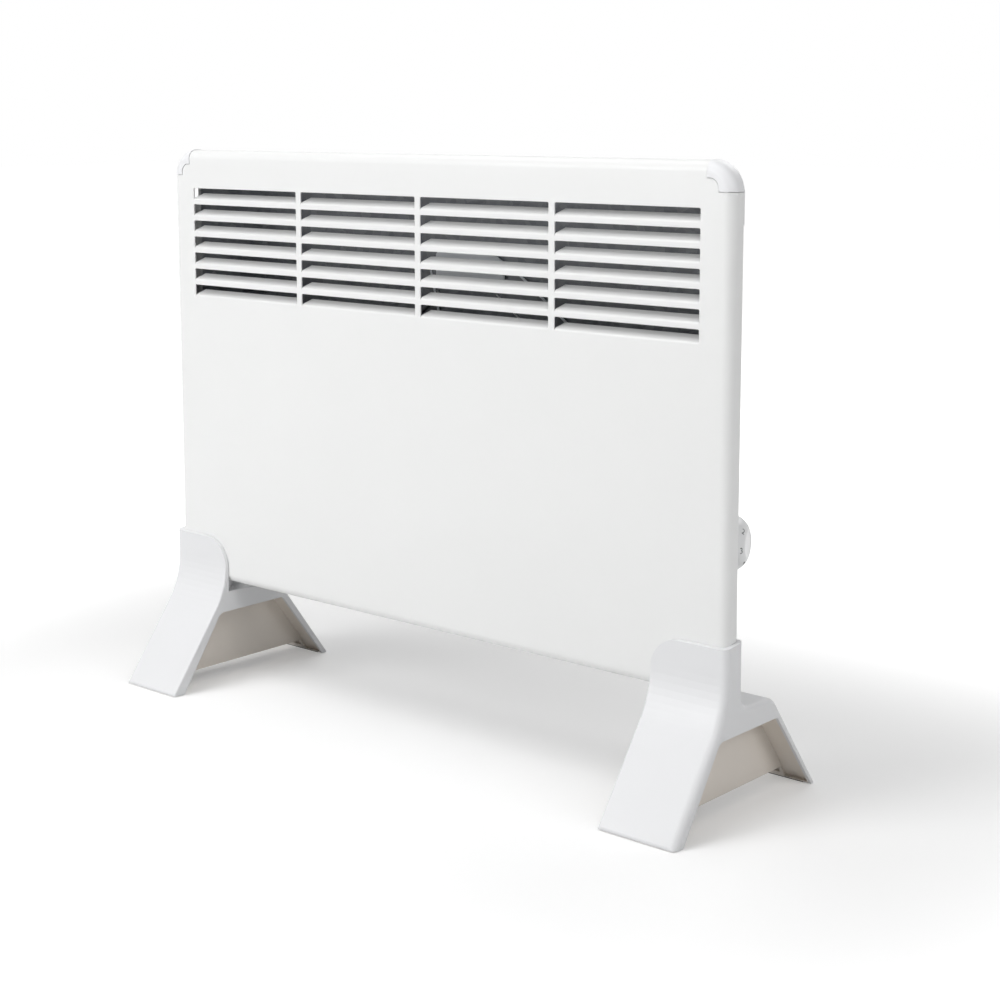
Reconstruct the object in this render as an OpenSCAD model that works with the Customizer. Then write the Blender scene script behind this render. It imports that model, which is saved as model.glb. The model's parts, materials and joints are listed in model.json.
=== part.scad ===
// Free-standing convector heater: a pressed steel front panel with a louvre grille, a folded rear case
// with the heating element and controls inside it, two moulded corner caps and two moulded feet.
// X runs along the panel, the front faces -Y, Z is up. The origin is on the floor at the middle of the
// panel's width and of the feet's depth. Inside the modules Y = 0 is the panel's front face.

/* [Front panel] */
// Width of the front panel over its side rims
body_w = 620; // [580:5:760]
// Height of the front panel over its top and bottom rims
body_h = 400; // [380:5:480]
// Height of the panel's bottom edge above the floor
floor_gap = 95; // [90:1:105]
// Depth of the folded rims
rim_d = 14; // [13:0.5:17]
// Outside radius of the folded edges
edge_r = 8; // [7:0.5:9]
// Thickness of the sheet steel
sheet_t = 1; // [0.8:0.1:1.2]
// Width of the lip folded in behind each rim
lip_w = 13; // [12:0.5:14]

/* [Grille] */
// Number of louvre columns
louvre_cols = 4; // [3:1:6]
// Number of louvre rows
louvre_rows = 7; // [5:1:8]
// Width of the whole grille
grille_w = 564; // [500:2:570]
// Distance from the panel's top to the first louvre
grille_drop = 34.6; // [32:0.2:40]
// Height of one louvre step
louvre_pitch = 14.8; // [14:0.2:16]
// Height of a louvre's opening
louvre_h = 11; // [9:0.2:11.4]
// Width of the bars between the columns
mullion_w = 6; // [5:0.5:10]
// Depth that the louvre blades reach behind the panel's face
blade_d = 9; // [8:0.2:10]
// Angle of the blades above the horizontal
blade_a = 28; // [20:1:32]
// Inside radius of the bend at a blade's root
blade_bend = 1.2; // [1:0.1:1.6]

/* [Corner caps] */
// Radius of the body's upper corners
corner_r = 24; // [22:0.5:26]
// How far the caps stand proud of the sheet
cap_proud = 0.5; // [0.3:0.1:0.8]
// Wall thickness of the caps
cap_t = 2; // [1.6:0.1:2.4]
// Step of the sheet's rounded tongue into each cap
cap_step = 10; // [8:0.5:11]
// Length of the tail below each cap's seam
cap_tail = 24; // [22:1:30]

/* [Rear case] */
// Depth of the rear case behind the panel's rims
case_d = 60; // [56:1:76]
// Distance from the panel's outer edge to the case's mouth, along each side
case_inset = 20; // [19:0.5:22]
// Distance from the panel's outer edge to the case's mouth, at the top and bottom
case_inset_z = 15; // [14.5:0.5:17]
// Slope of the case's side and top walls
wall_a = 20; // [18:1:22]
// Radius of the case's bends
case_bend = 6; // [4:0.5:8]
// Number of air inlet slots along the case's floor
inlet_cols = 12; // [8:1:12]
// Length of an air inlet slot
inlet_l = 24; // [18:1:26]
// Width of each air inlet slot
inlet_w = 5; // [4.5:0.5:6]
// Distance between the two wall hanging keyholes
keyhole_pitch = 360; // [300:10:420]
// Depth of the keyhole slots below the panel's top
keyhole_drop = 148; // [140:1:170]

/* [Feet] */
// Width of a foot along the panel
foot_w = 70; // [66:1:80]
// How far the sleeves stand proud of the panel
foot_proud = 3.5; // [3:0.1:4]
// Height of the sleeves' front edge above the panel's bottom
sleeve_h = 41; // [36:1:50]
// Rise of the sleeves' top from front to back
sleeve_rise = 3.5; // [2:0.5:5]
// Radius of the sleeves' inner top corner
sleeve_r = 27; // [22:1:30]
// Reach of the front toes ahead of the panel's face
toe_front = 67; // [62:1:74]
// Reach of the rear toes behind the panel's face
toe_rear = 124; // [120:1:132]
// Height of the flat shelf above the floor
shelf_z = 86; // [84:1:88]
// Thickness of the feet's moulded skin
skin_t = 3; // [2.5:0.1:3.5]
// Depth of the side rims below the shelf
band_h = 18; // [16:1:20]
// Width of the box rib between the legs
rib_w = 22; // [20:1:24]
// Wall thickness of the box rib
rib_t = 2.5; // [2:0.1:3]
// Height of the box rib's lower edge above the floor
rib_z = 11; // [9:1:14]
// Radius of the feet's outer front edges
foot_edge_r = 6; // [4:0.5:6.5]
// Radius of the feet's outer rear edges
foot_back_r = 4; // [2.5:0.5:4.5]
// Thickness of the rubber toe pads
pad_t = 0.8; // [0.8:0.1:1.6]

/* [Heating element] */
// Width of the control space at the case's mouth
control_w = 58; // [54:1:62]
// Radius of the element's rod
rod_r = 4; // [3.5:0.1:4.5]
// Span of the fins from the rod's centre
fin_span = 24; // [20:0.5:25]
// Thickness of the fins
fin_t = 1.4; // [1.2:0.1:1.8]
// Height of the element above the case's floor
element_h = 78; // [70:1:100]

/* [Controls] */
// Radius of the knob at its foot
knob_r = 22; // [20:0.5:22.5]
// Radius of the knob's outer face
knob_face_r = 15; // [13:0.5:16]
// Height of the knob
knob_h = 18; // [16:0.5:20]
// Number of finger scallops round the knob
knob_scallops = 6; // [6:1:8]
// Height of the knob's axis above the panel's bottom
knob_z = 111; // [100:1:140]
// Distance of the knob's axis behind the case's mouth, along the side wall
knob_s = 25.5; // [25:0.5:29]
// Radius of the thermostat's spindle
spindle_r = 3; // [2.8:0.1:3.2]
// Distance of the rocker switch below the knob's axis
switch_drop = 44; // [42:1:50]

/* [Hidden] */
$fn = 48;

// Colours
c_steel = [0.94, 0.94, 0.93];
c_moulded = [0.93, 0.93, 0.95];
c_zinc = [0.62, 0.63, 0.64];
c_alu = [0.78, 0.79, 0.80];
c_dark = [0.12, 0.12, 0.13];
c_ceramic = [0.90, 0.87, 0.78];

// A cut runs this far past a face
eps = 1;
// Clearance between pieces that only lie beside each other
seat_gap = 0.2;
// Radial clearance of screws in their holes
hole_gap = 0.1;
// Radial clearance of the turning spindle
run_gap = 0.05;
// A wire is this much thicker in its bends
elbow_swell = 1.1;

// The body's limits
body_x = body_w / 2;
body_z0 = floor_gap;
body_z1 = floor_gap + body_h;
cap_leg = corner_r - 1;
// Width of the seam between a cap and the sheet
cap_seam = 0.35;

// Louvre places
louvre_w = (grille_w - (louvre_cols - 1) * mullion_w) / louvre_cols;
grille_z1 = body_z1 - grille_drop;
grille_z0 = grille_z1 - (louvre_rows - 1) * louvre_pitch - louvre_h;
louvre_corner = 1.2;
blade_end_gap = 0.3;
blade_cut = 4;

// The rear case's limits
case_y0 = rim_d;
case_y1 = rim_d + case_d;
case_x = body_x - case_inset;
case_z0 = body_z0 + case_inset_z;
case_z1 = body_z1 - case_inset_z;
case_back_x = case_x - case_d * tan(wall_a);
// Distance of the case's flange from the panel's edges
case_edge = 4;

// Screws
screw_r = 1.5;
screw_head_r = 3.2;
screw_head_h = 2.2;
cap_screw_x = body_x - 4.8;
cap_screw_z = body_z1 - cap_leg - cap_tail + 6;
cap_screw_head_r = 4;
cap_screw_head_h = 2.6;
case_screw_x = body_x - (lip_w + case_edge) / 2;

// The element's axis
element_y = rim_d + case_d / 2;
element_z = case_z0 + element_h;
bracket_t = 1.2;
bracket_gap = 8;
divider_x = case_x - control_w;
divider_gap = 26;
wall_room = 36;
element_x0 = wall_room - case_back_x;
element_x1 = divider_x - divider_gap - bracket_gap;
bracket_xl = element_x0 - bracket_gap;
bracket_xr = element_x1 + bracket_gap;
bush_r = 7;

// The feet
foot_x0 = body_x + foot_proud - foot_w;
sleeve_z = body_z0 + sleeve_h;
sleeve_y1 = rim_d + sheet_t + seat_gap + foot_proud - 0.3;
leg_a = 36;
rear_leg_a = 36.9;
nose_z = pad_t + 2.2;
front_bend_r = 70;
shelf_end_y = toe_rear - (shelf_z - nose_z) * tan(rear_leg_a);
mid_y = (toe_rear - toe_front) / 2;
shelf_bend_r = 16;
sleeve_fillet = 12;
band_z = shelf_z - band_h;
foot_in_r = 1.5;
corner_shift = 0.1;
bend_steps = 8;
edge_steps = 6;
toe_front_w = 11.5;
toe_plate_front = pad_t + 4.5;
toe_plate_rear = pad_t + 1.5;
toe_rear_w = 5;
rib_x = foot_w / 2;
boss_r = 7;
foot_screw_x = rib_x - 3.5;
foot_screw_y = rim_d + 18;
foot_screw_r = 2.5;
foot_screw_head_r = 4.5;
foot_screw_head_h = 3.5;

// The knob
knob_base = 0.9;
knob_wall = 2;
knob_hub_r = 6.5;
// Angle of the first scallop from straight down
scallop_a = 21;

// Places a child on the right side wall: X out of the wall, Y back along it, Z up from the panel's bottom
module on_wall(s, z) {
    translate([case_x, case_y0, 0])
        rotate([0, 0, wall_a])
            translate([0, s, body_z0 + z])
                children();
}

// Points of an arc that rounds the corner b of the path a, b, c
function corner_arc(a, b, c, r, n) =
    let (u = (a - b) / norm(a - b), v = (c - b) / norm(c - b))
    let (half = acos(u * v) / 2, t = r / tan(half))
    let (m = b + (u + v) / norm(u + v) * (r / sin(half)))
    let (p = b + u * t - m, q = b + v * t - m)
    let (a0 = atan2(p[1], p[0]), turn = atan2(q[1], q[0]) - a0)
    let (sweep = turn > 180 ? turn - 360 : turn < -180 ? turn + 360 : turn)
    [for (i = [0:n]) m + r * [cos(a0 + sweep * i / n), sin(a0 + sweep * i / n)]];

// A polygon whose corners are rounded by the radii in rs; a radius of 0 keeps the corner sharp
function rounded(pts, rs, n = 6) =
    let (k = len(pts))
    [for (i = [0:k - 1])
        each (rs[i] == 0 ? [pts[i]]
              : corner_arc(pts[(i + k - 1) % k], pts[i], pts[(i + 1) % k], rs[i], n))];

// Extrudes a shape drawn in Y and Z along X
module along_x(x0, x1) {
    translate([x0, 0, 0])
        rotate([90, 0, 90])
            linear_extrude(x1 - x0)
                children();
}

// Extrudes a shape drawn in X and Z from y0 back to y1
module along_y(y0, y1) {
    translate([0, y1, 0])
        rotate([90, 0, 0])
            linear_extrude(y1 - y0)
                children();
}

// Places a child at point a with its Z axis towards point b
module towards(a, b) {
    d = b - a;
    translate(a)
        rotate([0, acos(d[2] / norm(d)), atan2(d[1], d[0])])
            children();
}

// A wire or tube through points, with round elbows; those of a flat run have their poles along it
module run_through(pts, r, flat = false) {
    for (i = [0:len(pts) - 2])
        towards(pts[i], pts[i + 1])
            cylinder(r = r, h = norm(pts[i + 1] - pts[i]));
    for (i = [1:len(pts) - 2])
        towards(pts[i], flat ? pts[i + 1] : pts[i] + [0, 0, 1])
            sphere(r = r * elbow_swell);
}

// A rectangle with round corners, from its lower left corner
module round_rect(w, h, r) {
    translate([r, 0])
        square([w - 2 * r, h]);
    translate([0, r])
        square([w, h - 2 * r]);
    for (x = [r, w - r], y = [r, h - r])
        translate([x, y])
            circle(r = r);
}

// A pan-head screw along +Z with its head's seat at z = 0 and its shank below
module pan_screw(r, l, head_r, head_h) {
    translate([0, 0, -l])
        cylinder(r = r, h = l + head_h / 2);
    difference() {
        cylinder(r1 = head_r, r2 = head_r * 0.72, h = head_h);
        translate([-head_r * 0.5, -0.5, head_h - 1])
            cube([head_r, 1, 2]);
        translate([-0.5, -head_r * 0.5, head_h - 1])
            cube([1, head_r, 2]);
    }
}

// A quarter disc on the negative side of both axes
module quarter(r) {
    intersection() {
        circle(r = r);
        translate([-r, -r])
            square(r);
    }
}

// Front panel

// The section of a folded rim: u is the depth from the face, v the distance in from the outer edge
module rim_section(strip, over) {
    t = sheet_t + over;
    difference() {
        union() {
            translate([edge_r, -over])
                square([rim_d - edge_r, strip + over]);
            translate([-over, edge_r])
                square([edge_r + over, strip - edge_r]);
            translate([edge_r, edge_r])
                quarter(edge_r + over);
        }
        translate([edge_r, t - over])
            square([rim_d - edge_r - t, strip + eps]);
        translate([t - over, edge_r])
            square([edge_r, strip + eps]);
        translate([edge_r, edge_r])
            quarter(edge_r - t + over);
        translate([rim_d - t - eps, lip_w])
            square([t + 2 * eps, strip]);
    }
}

// The flat face with its rounded tongues into the corner caps, in X and Z
module face_outline() {
    side = body_x - edge_r;
    top = body_z1 - edge_r;
    translate([-side, body_z0 + edge_r])
        square([2 * side, body_z1 - cap_leg - body_z0 - edge_r]);
    translate([-body_x + cap_leg, body_z0 + edge_r])
        square([body_w - 2 * cap_leg, top - body_z0 - edge_r]);
    for (m = [0, 1])
        mirror([m, 0])
            tongue(0);
}

// The tongue of sheet that steps into the right corner cap
module tongue(grow) {
    r = cap_step * 0.72;
    x1 = body_x - cap_leg + cap_step + grow;
    z1 = body_z1 - cap_leg + cap_step + grow;
    translate([x1 - 2 * cap_leg, z1 - 2 * cap_leg])
        square([2 * cap_leg - r, 2 * cap_leg]);
    translate([x1 - 2 * cap_leg, z1 - 2 * cap_leg])
        square([2 * cap_leg, 2 * cap_leg - r]);
    translate([x1 - r, z1 - r])
        circle(r = r);
}

// The lower left corner of a louvre opening, by column and row
function louvre_place(i, j) =
    [-grille_w / 2 + i * (louvre_w + mullion_w), 0, grille_z1 - j * louvre_pitch - louvre_h];

// One louvre blade in Y and Z: it rolls in from the opening's lower edge and rises to the back
module blade_section() {
    n = 5;
    outer = blade_bend + sheet_t;
    turn = 90 - blade_a;
    straight = (blade_d - outer + outer * cos(turn)) / cos(blade_a);
    along = straight * [cos(blade_a), sin(blade_a)];
    face = [for (k = [0:n]) [outer - outer * cos(turn * k / n), outer * sin(turn * k / n)]];
    back = [for (k = [n:-1:0]) [outer - blade_bend * cos(turn * k / n), blade_bend * sin(turn * k / n)]];
    polygon(concat([[0, -eps]], face, [face[n] + along, back[0] + along], back, [[sheet_t, -eps]]));
}

// One blade from its lower left corner, cut back at both ends behind its bend
module blade() {
    x0 = blade_end_gap;
    x1 = louvre_w - blade_end_gap;
    bend_y = blade_bend + sheet_t;
    intersection() {
        along_x(x0, x1)
            blade_section();
        translate([0, 0, -louvre_h])
            linear_extrude(3 * louvre_h)
                polygon([[x0, -eps], [x1, -eps], [x1, bend_y], [x1 - blade_cut, blade_d + eps],
                         [x0 + blade_cut, blade_d + eps], [x0, bend_y]]);
    }
}

module front_panel() {
    strip = lip_w + 2;
    color(c_steel) {
        difference() {
            union() {
                along_y(0, sheet_t)
                    difference() {
                        face_outline();
                        for (i = [0:louvre_cols - 1], j = [0:louvre_rows - 1])
                            translate([louvre_place(i, j)[0], louvre_place(i, j)[2]])
                                round_rect(louvre_w, louvre_h, louvre_corner);
                    }
                translate([0, 0, body_z1])
                    mirror([0, 0, 1])
                        along_x(-body_x + cap_leg, body_x - cap_leg)
                            rim_section(strip, 0);
                translate([0, 0, body_z0])
                    along_x(-body_x + edge_r, body_x - edge_r)
                        rim_section(strip, 0);
                for (m = [0, 1])
                    mirror([m, 0, 0])
                        translate([body_x, 0, body_z0 + edge_r])
                            linear_extrude(body_h - cap_leg - edge_r)
                                rotate(90)
                                    rim_section(strip, 0);
            }
            for (p = case_screw_places())
                translate([p[0], rim_d - sheet_t - eps, p[1]])
                    rotate([-90, 0, 0])
                        cylinder(r = screw_r + hole_gap, h = sheet_t + 2 * eps);
            for (m = [0, 1])
                mirror([m, 0, 0])
                    translate([cap_screw_x, rim_d - sheet_t - eps, cap_screw_z])
                        rotate([-90, 0, 0])
                            cylinder(r = screw_r + hole_gap, h = sheet_t + 2 * eps);
        }
        for (i = [0:louvre_cols - 1], j = [0:louvre_rows - 1])
            translate(louvre_place(i, j))
                blade();
    }
}

// Corner caps

module corner_cap() {
    y1 = rim_d + sheet_t;
    tail_x0 = body_x - lip_w + 3;
    color(c_moulded) {
        difference() {
            union() {
                translate([body_x - cap_leg - 1, 0, body_z1 - cap_leg - 1])
                    rotate([-90, 0, 0])
                        rotate([0, 0, -90])
                            rotate_extrude(angle = 90)
                                cap_section();
                translate([tail_x0, rim_d, body_z1 - cap_leg - cap_tail])
                    cube([body_x - tail_x0, sheet_t, cap_tail + 2]);
            }
            along_y(-eps, cap_t + eps)
                tongue(cap_seam);
            along_y(-eps, rim_d)
                square_below(body_x - cap_leg + cap_seam, body_z1 - cap_leg + cap_seam);
            translate([cap_screw_x, rim_d - eps, cap_screw_z])
                rotate([-90, 0, 0])
                    cylinder(r = screw_r + hole_gap, h = sheet_t + 2 * eps);
        }
    }
}

// The region left of x or below z, in X and Z
module square_below(x, z) {
    translate([x - 2 * body_x, 0])
        square([2 * body_x, body_z1 + corner_r]);
    translate([x - body_x, z - body_z1])
        square([2 * body_x, body_z1]);
}

// The section that turns round the corner: radius from the corner's centre, and depth
module cap_section() {
    r_out = corner_r + cap_proud;
    r_edge = edge_r + cap_proud;
    c = [r_out - r_edge, edge_r];
    difference() {
        union() {
            translate([0, -cap_proud])
                square([c[0], rim_d + cap_proud]);
            translate([0, edge_r])
                square([r_out, rim_d - edge_r]);
            translate(c)
                mirror([1, 0])
                    quarter(r_edge);
        }
        translate([-eps, cap_t - cap_proud])
            square([c[0] + eps, rim_d - 2 * cap_t + cap_proud]);
        translate([-eps, edge_r])
            square([r_out - cap_t + eps, rim_d - edge_r - cap_t]);
        translate(c)
            mirror([1, 0])
                quarter(r_edge - cap_t);
        translate([-eps, rim_d - cap_t - eps])
            square([corner_r - lip_w + eps, cap_t + 2 * eps]);
    }
}

module cap_screws() {
    color(c_zinc)
        for (m = [0, 1])
            mirror([m, 0, 0])
                translate([cap_screw_x, rim_d + sheet_t, cap_screw_z])
                    rotate([-90, 0, 0])
                        pan_screw(screw_r, 6, cap_screw_head_r, cap_screw_head_h);
}

// Rear case

// The case's plan, inset by a wall
function case_plan(inset) =
    let (x0 = case_x - inset / cos(wall_a), y1 = case_y1 - inset)
    let (x1 = x0 - (y1 - case_y0) * tan(wall_a), r = case_bend - inset)
    rounded([[-x0, case_y0], [x0, case_y0], [x1, y1], [-x1, y1]], [0, 0, r, r]);

// The case's side view, inset by a wall
function case_side(inset) =
    let (z1 = case_z1 - inset / cos(wall_a), z0 = case_z0 + inset, y1 = case_y1 - inset)
    let (zb = z1 - (y1 - case_y0) * tan(wall_a), r = case_bend - inset)
    rounded([[case_y0, z0], [y1, z0], [y1, zb], [case_y0, z1]], [0, r, r, 0]);

module case_form(inset) {
    intersection() {
        translate([0, 0, body_z0])
            linear_extrude(body_h)
                polygon(case_plan(inset));
        along_x(-body_x, body_x)
            polygon(case_side(inset));
    }
}

// Places of the screws through the case's flange, as X and Z
function case_screw_places() =
    let (inset = (lip_w + case_edge) / 2, zt = body_z1 - inset, zb = body_z0 + inset)
    let (zs = [body_z0 + 0.3 * body_h, body_z0 + 0.75 * body_h])
    concat([for (x = [-0.36, 0, 0.36]) [x * body_w, zt]],
           [for (x = [-0.3, 0, 0.3]) [x * body_w, zb]],
           [for (s = [-1, 1], z = zs) [s * case_screw_x, z]]);

module keyhole() {
    head = 5.5;
    neck = 2.6;
    drop = 12;
    translate([0, -drop])
        circle(r = head);
    translate([-neck, -drop])
        square([2 * neck, drop]);
    circle(r = neck);
}

module rear_case() {
    flange_x = body_x - case_edge;
    tail_clear = cap_leg + cap_tail + 3;
    slot_x0 = -case_back_x + 24;
    slot_pitch = (tilt_x - 14 - slot_x0) / inlet_cols;
    color(c_steel)
        difference() {
            union() {
                case_form(0);
                translate([-flange_x, case_y0, body_z0 + case_edge])
                    cube([2 * flange_x, sheet_t, body_h - 2 * case_edge]);
            }
            difference() {
                case_form(sheet_t);
                rear_beads();
            }
            translate([-case_x + sheet_t, case_y0 - eps, case_z0 + sheet_t])
                cube([2 * (case_x - sheet_t), eps + sheet_t / 2, case_z1 - case_z0 - 2 * sheet_t]);
            for (m = [0, 1])
                mirror([m, 0, 0])
                    translate([case_x + 2, case_y0 - eps, body_z1 - tail_clear])
                        cube([lip_w + case_inset, sheet_t + 2 * eps, tail_clear]);
            for (i = [0:inlet_cols - 1], r = [0, 1])
                translate([slot_x0 + (i + 0.5) * slot_pitch - inlet_l / 2,
                           case_y0 + 13 + r * 20, case_z0 - eps])
                    linear_extrude(sheet_t + 2 * eps)
                        round_rect(inlet_l, inlet_w, inlet_w / 2 - 0.01);
            for (s = [-1, 1])
                translate([s * keyhole_pitch / 2, 0, body_z1 - keyhole_drop])
                    along_y(case_y1 - sheet_t - eps, case_y1 + eps)
                        keyhole();
            for (p = case_screw_places())
                translate([p[0], case_y0 - eps, p[1]])
                    rotate([-90, 0, 0])
                        cylinder(r = screw_r + hole_gap, h = sheet_t + 2 * eps);
            on_wall(knob_s, knob_z)
                rotate([0, 90, 0])
                    cylinder(r = bushing_r + hole_gap, h = 8, center = true);
            for (s = [-1, 1])
                on_wall(knob_s, knob_z + s * thermostat_screw_z)
                    rotate([0, 90, 0])
                        cylinder(r = screw_r + hole_gap, h = 8, center = true);
            on_wall(knob_s, knob_z - switch_drop)
                cube([8, switch_cut_w, switch_cut_h], center = true);
            translate([inlet_x, inlet_y, case_z0 - eps])
                cylinder(r = inlet_neck_r + hole_gap, h = sheet_t + 2 * eps);
            for (m = [0, 1])
                mirror([m, 0, 0])
                    translate([foot_x0 + foot_screw_x, foot_screw_y, case_z0 - eps])
                        cylinder(r = foot_screw_r + hole_gap, h = sheet_t + 2 * eps);
            for (p = bracket_screw_places())
                translate([p[0], case_y1 - sheet_t - eps, p[1]])
                    rotate([-90, 0, 0])
                        cylinder(r = screw_r + hole_gap, h = sheet_t + 2 * eps);
        }
}

// Pressed stiffening beads on the inside of the rear wall
module rear_beads() {
    bead_d = 2.5;
    y0 = case_y1 - sheet_t - bead_d;
    translate([-50, y0, body_z1 - 106])
        cube([80, bead_d + sheet_t, 16]);
    for (s = [-1, 1])
        translate([-10, 0, body_z1 - 98])
            rotate([0, s * 36, 0])
                translate([s > 0 ? 40 : -210, y0, -3])
                    cube([170, bead_d + sheet_t, 6]);
}

module case_screws() {
    color(c_zinc)
        for (p = case_screw_places())
            translate([p[0], case_y0 + sheet_t, p[1]])
                rotate([-90, 0, 0])
                    pan_screw(screw_r, 6, screw_head_r, screw_head_h);
}

// A sheet steel baffle that keeps the element's heat off the lower panel
module front_baffle() {
    strap_x = case_x - sheet_t / cos(wall_a) - (2 + sheet_t) * tan(wall_a) - 0.05;
    x0 = 16 - case_back_x;
    x1 = divider_x - 4;
    z0 = case_z0 + 4;
    z1 = grille_z0 - 12;
    y = rim_d + 2;
    fold = 12;
    strap_z = 30;
    strap_h = 40;
    color(c_zinc) {
        translate([x0, y, z0])
            cube([x1 - x0, sheet_t, z1 - z0]);
        translate([x0, y + 0.2 * sheet_t, z1 - 1.5 * sheet_t])
            rotate([-40, 0, 0])
                cube([x1 - x0, 0.9 * sheet_t, fold]);
        for (x = [x0, x1 - sheet_t])
            translate([x, y, z0])
                cube([sheet_t, fold, z1 - z0 - fold]);
        translate([-strap_x, y, z0 + strap_z])
            cube([2 * strap_x, sheet_t, strap_h]);
    }
}

// Heating element

module element_fins() {
    hub_r = rod_r + 3;
    sub = 6;
    color(c_alu)
        along_x(element_x0, element_x1)
            translate([element_y, element_z])
                difference() {
                    union() {
                        circle(r = hub_r);
                        for (a = [45:90:315])
                            rotate(a) {
                                translate([0, -fin_t / 2])
                                    square([fin_span, fin_t]);
                                for (d = [12, 17, 22])
                                    translate([d, -sub / 2 - (d - 12) / 5])
                                        square([fin_t, sub + (d - 12) / 2.5]);
                            }
                    }
                    circle(r = rod_r);
                }
}

module element_rod() {
    pin = 9;
    color(c_zinc) {
        translate([bracket_xl - 12, element_y, element_z])
            rotate([0, 90, 0])
                cylinder(r = rod_r, h = bracket_xr - bracket_xl + 24);
        for (x = [bracket_xl - 12 - pin, bracket_xr + 12])
            translate([x, element_y, element_z])
                rotate([0, 90, 0])
                    cylinder(r = 1.6, h = pin);
    }
}

// Places of the screws that hold the brackets to the rear wall
function bracket_screw_places() =
    [for (x = [bracket_xl - 8, bracket_xr + 8], z = [element_z - 20, element_z + 20]) [x, z]];

module element_bracket(x, side) {
    y0 = element_y - 20;
    y1 = case_y1 - sheet_t;
    h = 60;
    flange = 16;
    color(c_zinc)
        difference() {
            union() {
                translate([x - bracket_t / 2, y0, element_z - h / 2])
                    cube([bracket_t, y1 - y0, h]);
                translate([side > 0 ? x : x - flange, y1 - bracket_t, element_z - h / 2])
                    cube([flange, bracket_t, h]);
                if (side > 0)
                    translate([x - bracket_t / 2, y0, element_z])
                        cube([bracket_t, y1 - y0, h / 2 + 26]);
            }
            translate([x - eps, element_y, element_z])
                rotate([0, 90, 0])
                    cylinder(r = bush_r, h = 2 * eps);
            translate([x - eps, element_y, element_z + cutout_dz])
                rotate([0, 90, 0])
                    cylinder(r = 6, h = 2 * eps);
            for (z = [-20, 20])
                translate([x + side * 8, y1 - bracket_t - eps, element_z + z])
                    rotate([-90, 0, 0])
                        cylinder(r = screw_r + hole_gap, h = bracket_t + 2 * eps);
        }
}

module element_bush(x) {
    color(c_ceramic)
        difference() {
            union() {
                translate([x - 4, element_y, element_z])
                    rotate([0, 90, 0])
                        cylinder(r = bush_r, h = 8);
                for (o = [-4, bracket_t / 2])
                    translate([x + o, element_y, element_z])
                        rotate([0, 90, 0])
                            cylinder(r = bush_r + 3, h = 4 - bracket_t / 2);
            }
            translate([x - 4 - eps, element_y, element_z])
                rotate([0, 90, 0])
                    cylinder(r = rod_r, h = 8 + 2 * eps);
        }
}

module bracket_screws() {
    color(c_zinc)
        for (p = bracket_screw_places())
            translate([p[0], case_y1, p[1]])
                rotate([-90, 0, 0])
                    pan_screw(screw_r, 7, screw_head_r, screw_head_h);
}

// The snap-disc cut-out above the element looks through a hole in the right bracket
cutout_dz = 43;
cutout_x = bracket_xr + bracket_t / 2;
cutout_tab = 4.5;
module overheat_cutout() {
    z = element_z + cutout_dz;
    color(c_dark) {
        translate([cutout_x, element_y, z])
            rotate([0, 90, 0])
                cylinder(r = 8, h = 7);
        translate([cutout_x, element_y - 12, z - 5])
            cube([1, 24, 10]);
        for (s = [-1, 1])
            translate([cutout_x + 6, element_y + s * cutout_tab - 0.4, z - 3])
                cube([9, 0.8, 6]);
    }
}

// The screen between the hot space and the controls, with two passes for the wires
pass_y = case_y1 - sheet_t - 16;
low_pass = [divider_x, pass_y, case_z0 + sheet_t + 28];
high_pass = [divider_x, pass_y - 7, case_z0 + sheet_t + 62];
pass_hole = 12;
divider_over_knob = 46;
module control_divider() {
    z0 = case_z0 + sheet_t;
    z1 = body_z0 + knob_z + divider_over_knob;
    y0 = rim_d + 4;
    y1 = case_y1 - sheet_t;
    flange = 12;
    color(c_zinc)
        difference() {
            intersection() {
                union() {
                    translate([divider_x, y0, z0])
                        cube([sheet_t, y1 - y0, z1 - z0]);
                    translate([divider_x, y1 - sheet_t, z0 + case_bend])
                        cube([flange, sheet_t, z1 - z0 - case_bend]);
                }
                case_form(sheet_t);
            }
            for (p = [low_pass, high_pass])
                translate(p + [-eps, -pass_hole / 2, -pass_hole / 2])
                    cube([sheet_t + 2 * eps, pass_hole, pass_hole]);
        }
}

// Controls

bushing_r = 5;
thermostat_screw_z = 14;
thermostat_w = 34;
thermostat_h = 40;
thermostat_d = 20;

module thermostat_body() {
    color(c_dark)
        on_wall(knob_s, knob_z)
            difference() {
                union() {
                    translate([-sheet_t - thermostat_d, -thermostat_w / 2, -thermostat_h / 2])
                        cube([thermostat_d, thermostat_w, thermostat_h]);
                    translate([-sheet_t - 2, 0, 0])
                        rotate([0, 90, 0])
                            cylinder(r = bushing_r, h = sheet_t + 5);
                    for (s = [-1, 1])
                        translate([-sheet_t - thermostat_d - 7, s * 9 - 3, -8])
                            cube([8, 6, 0.8]);
                }
                translate([-16, 0, 0])
                    rotate([0, 90, 0])
                        cylinder(r = spindle_r + run_gap, h = 16 + 6);
                for (s = [-1, 1])
                    translate([-12, 0, s * thermostat_screw_z])
                        rotate([0, 90, 0])
                            cylinder(r = screw_r, h = 12);
            }
}

module thermostat_screws() {
    color(c_zinc)
        for (s = [-1, 1])
            on_wall(knob_s, knob_z + s * thermostat_screw_z)
                rotate([0, 90, 0])
                    pan_screw(screw_r, 8, 2.8, 1.8);
}

module thermostat_spindle() {
    color(c_zinc)
        on_wall(knob_s, knob_z)
            difference() {
                translate([-14, 0, 0])
                    rotate([0, 90, 0])
                        cylinder(r = spindle_r, h = 14 + knob_base + knob_h - 4);
                translate([5, spindle_r - 1, -spindle_r])
                    cube([knob_h, spindle_r, 2 * spindle_r]);
            }
}

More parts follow.
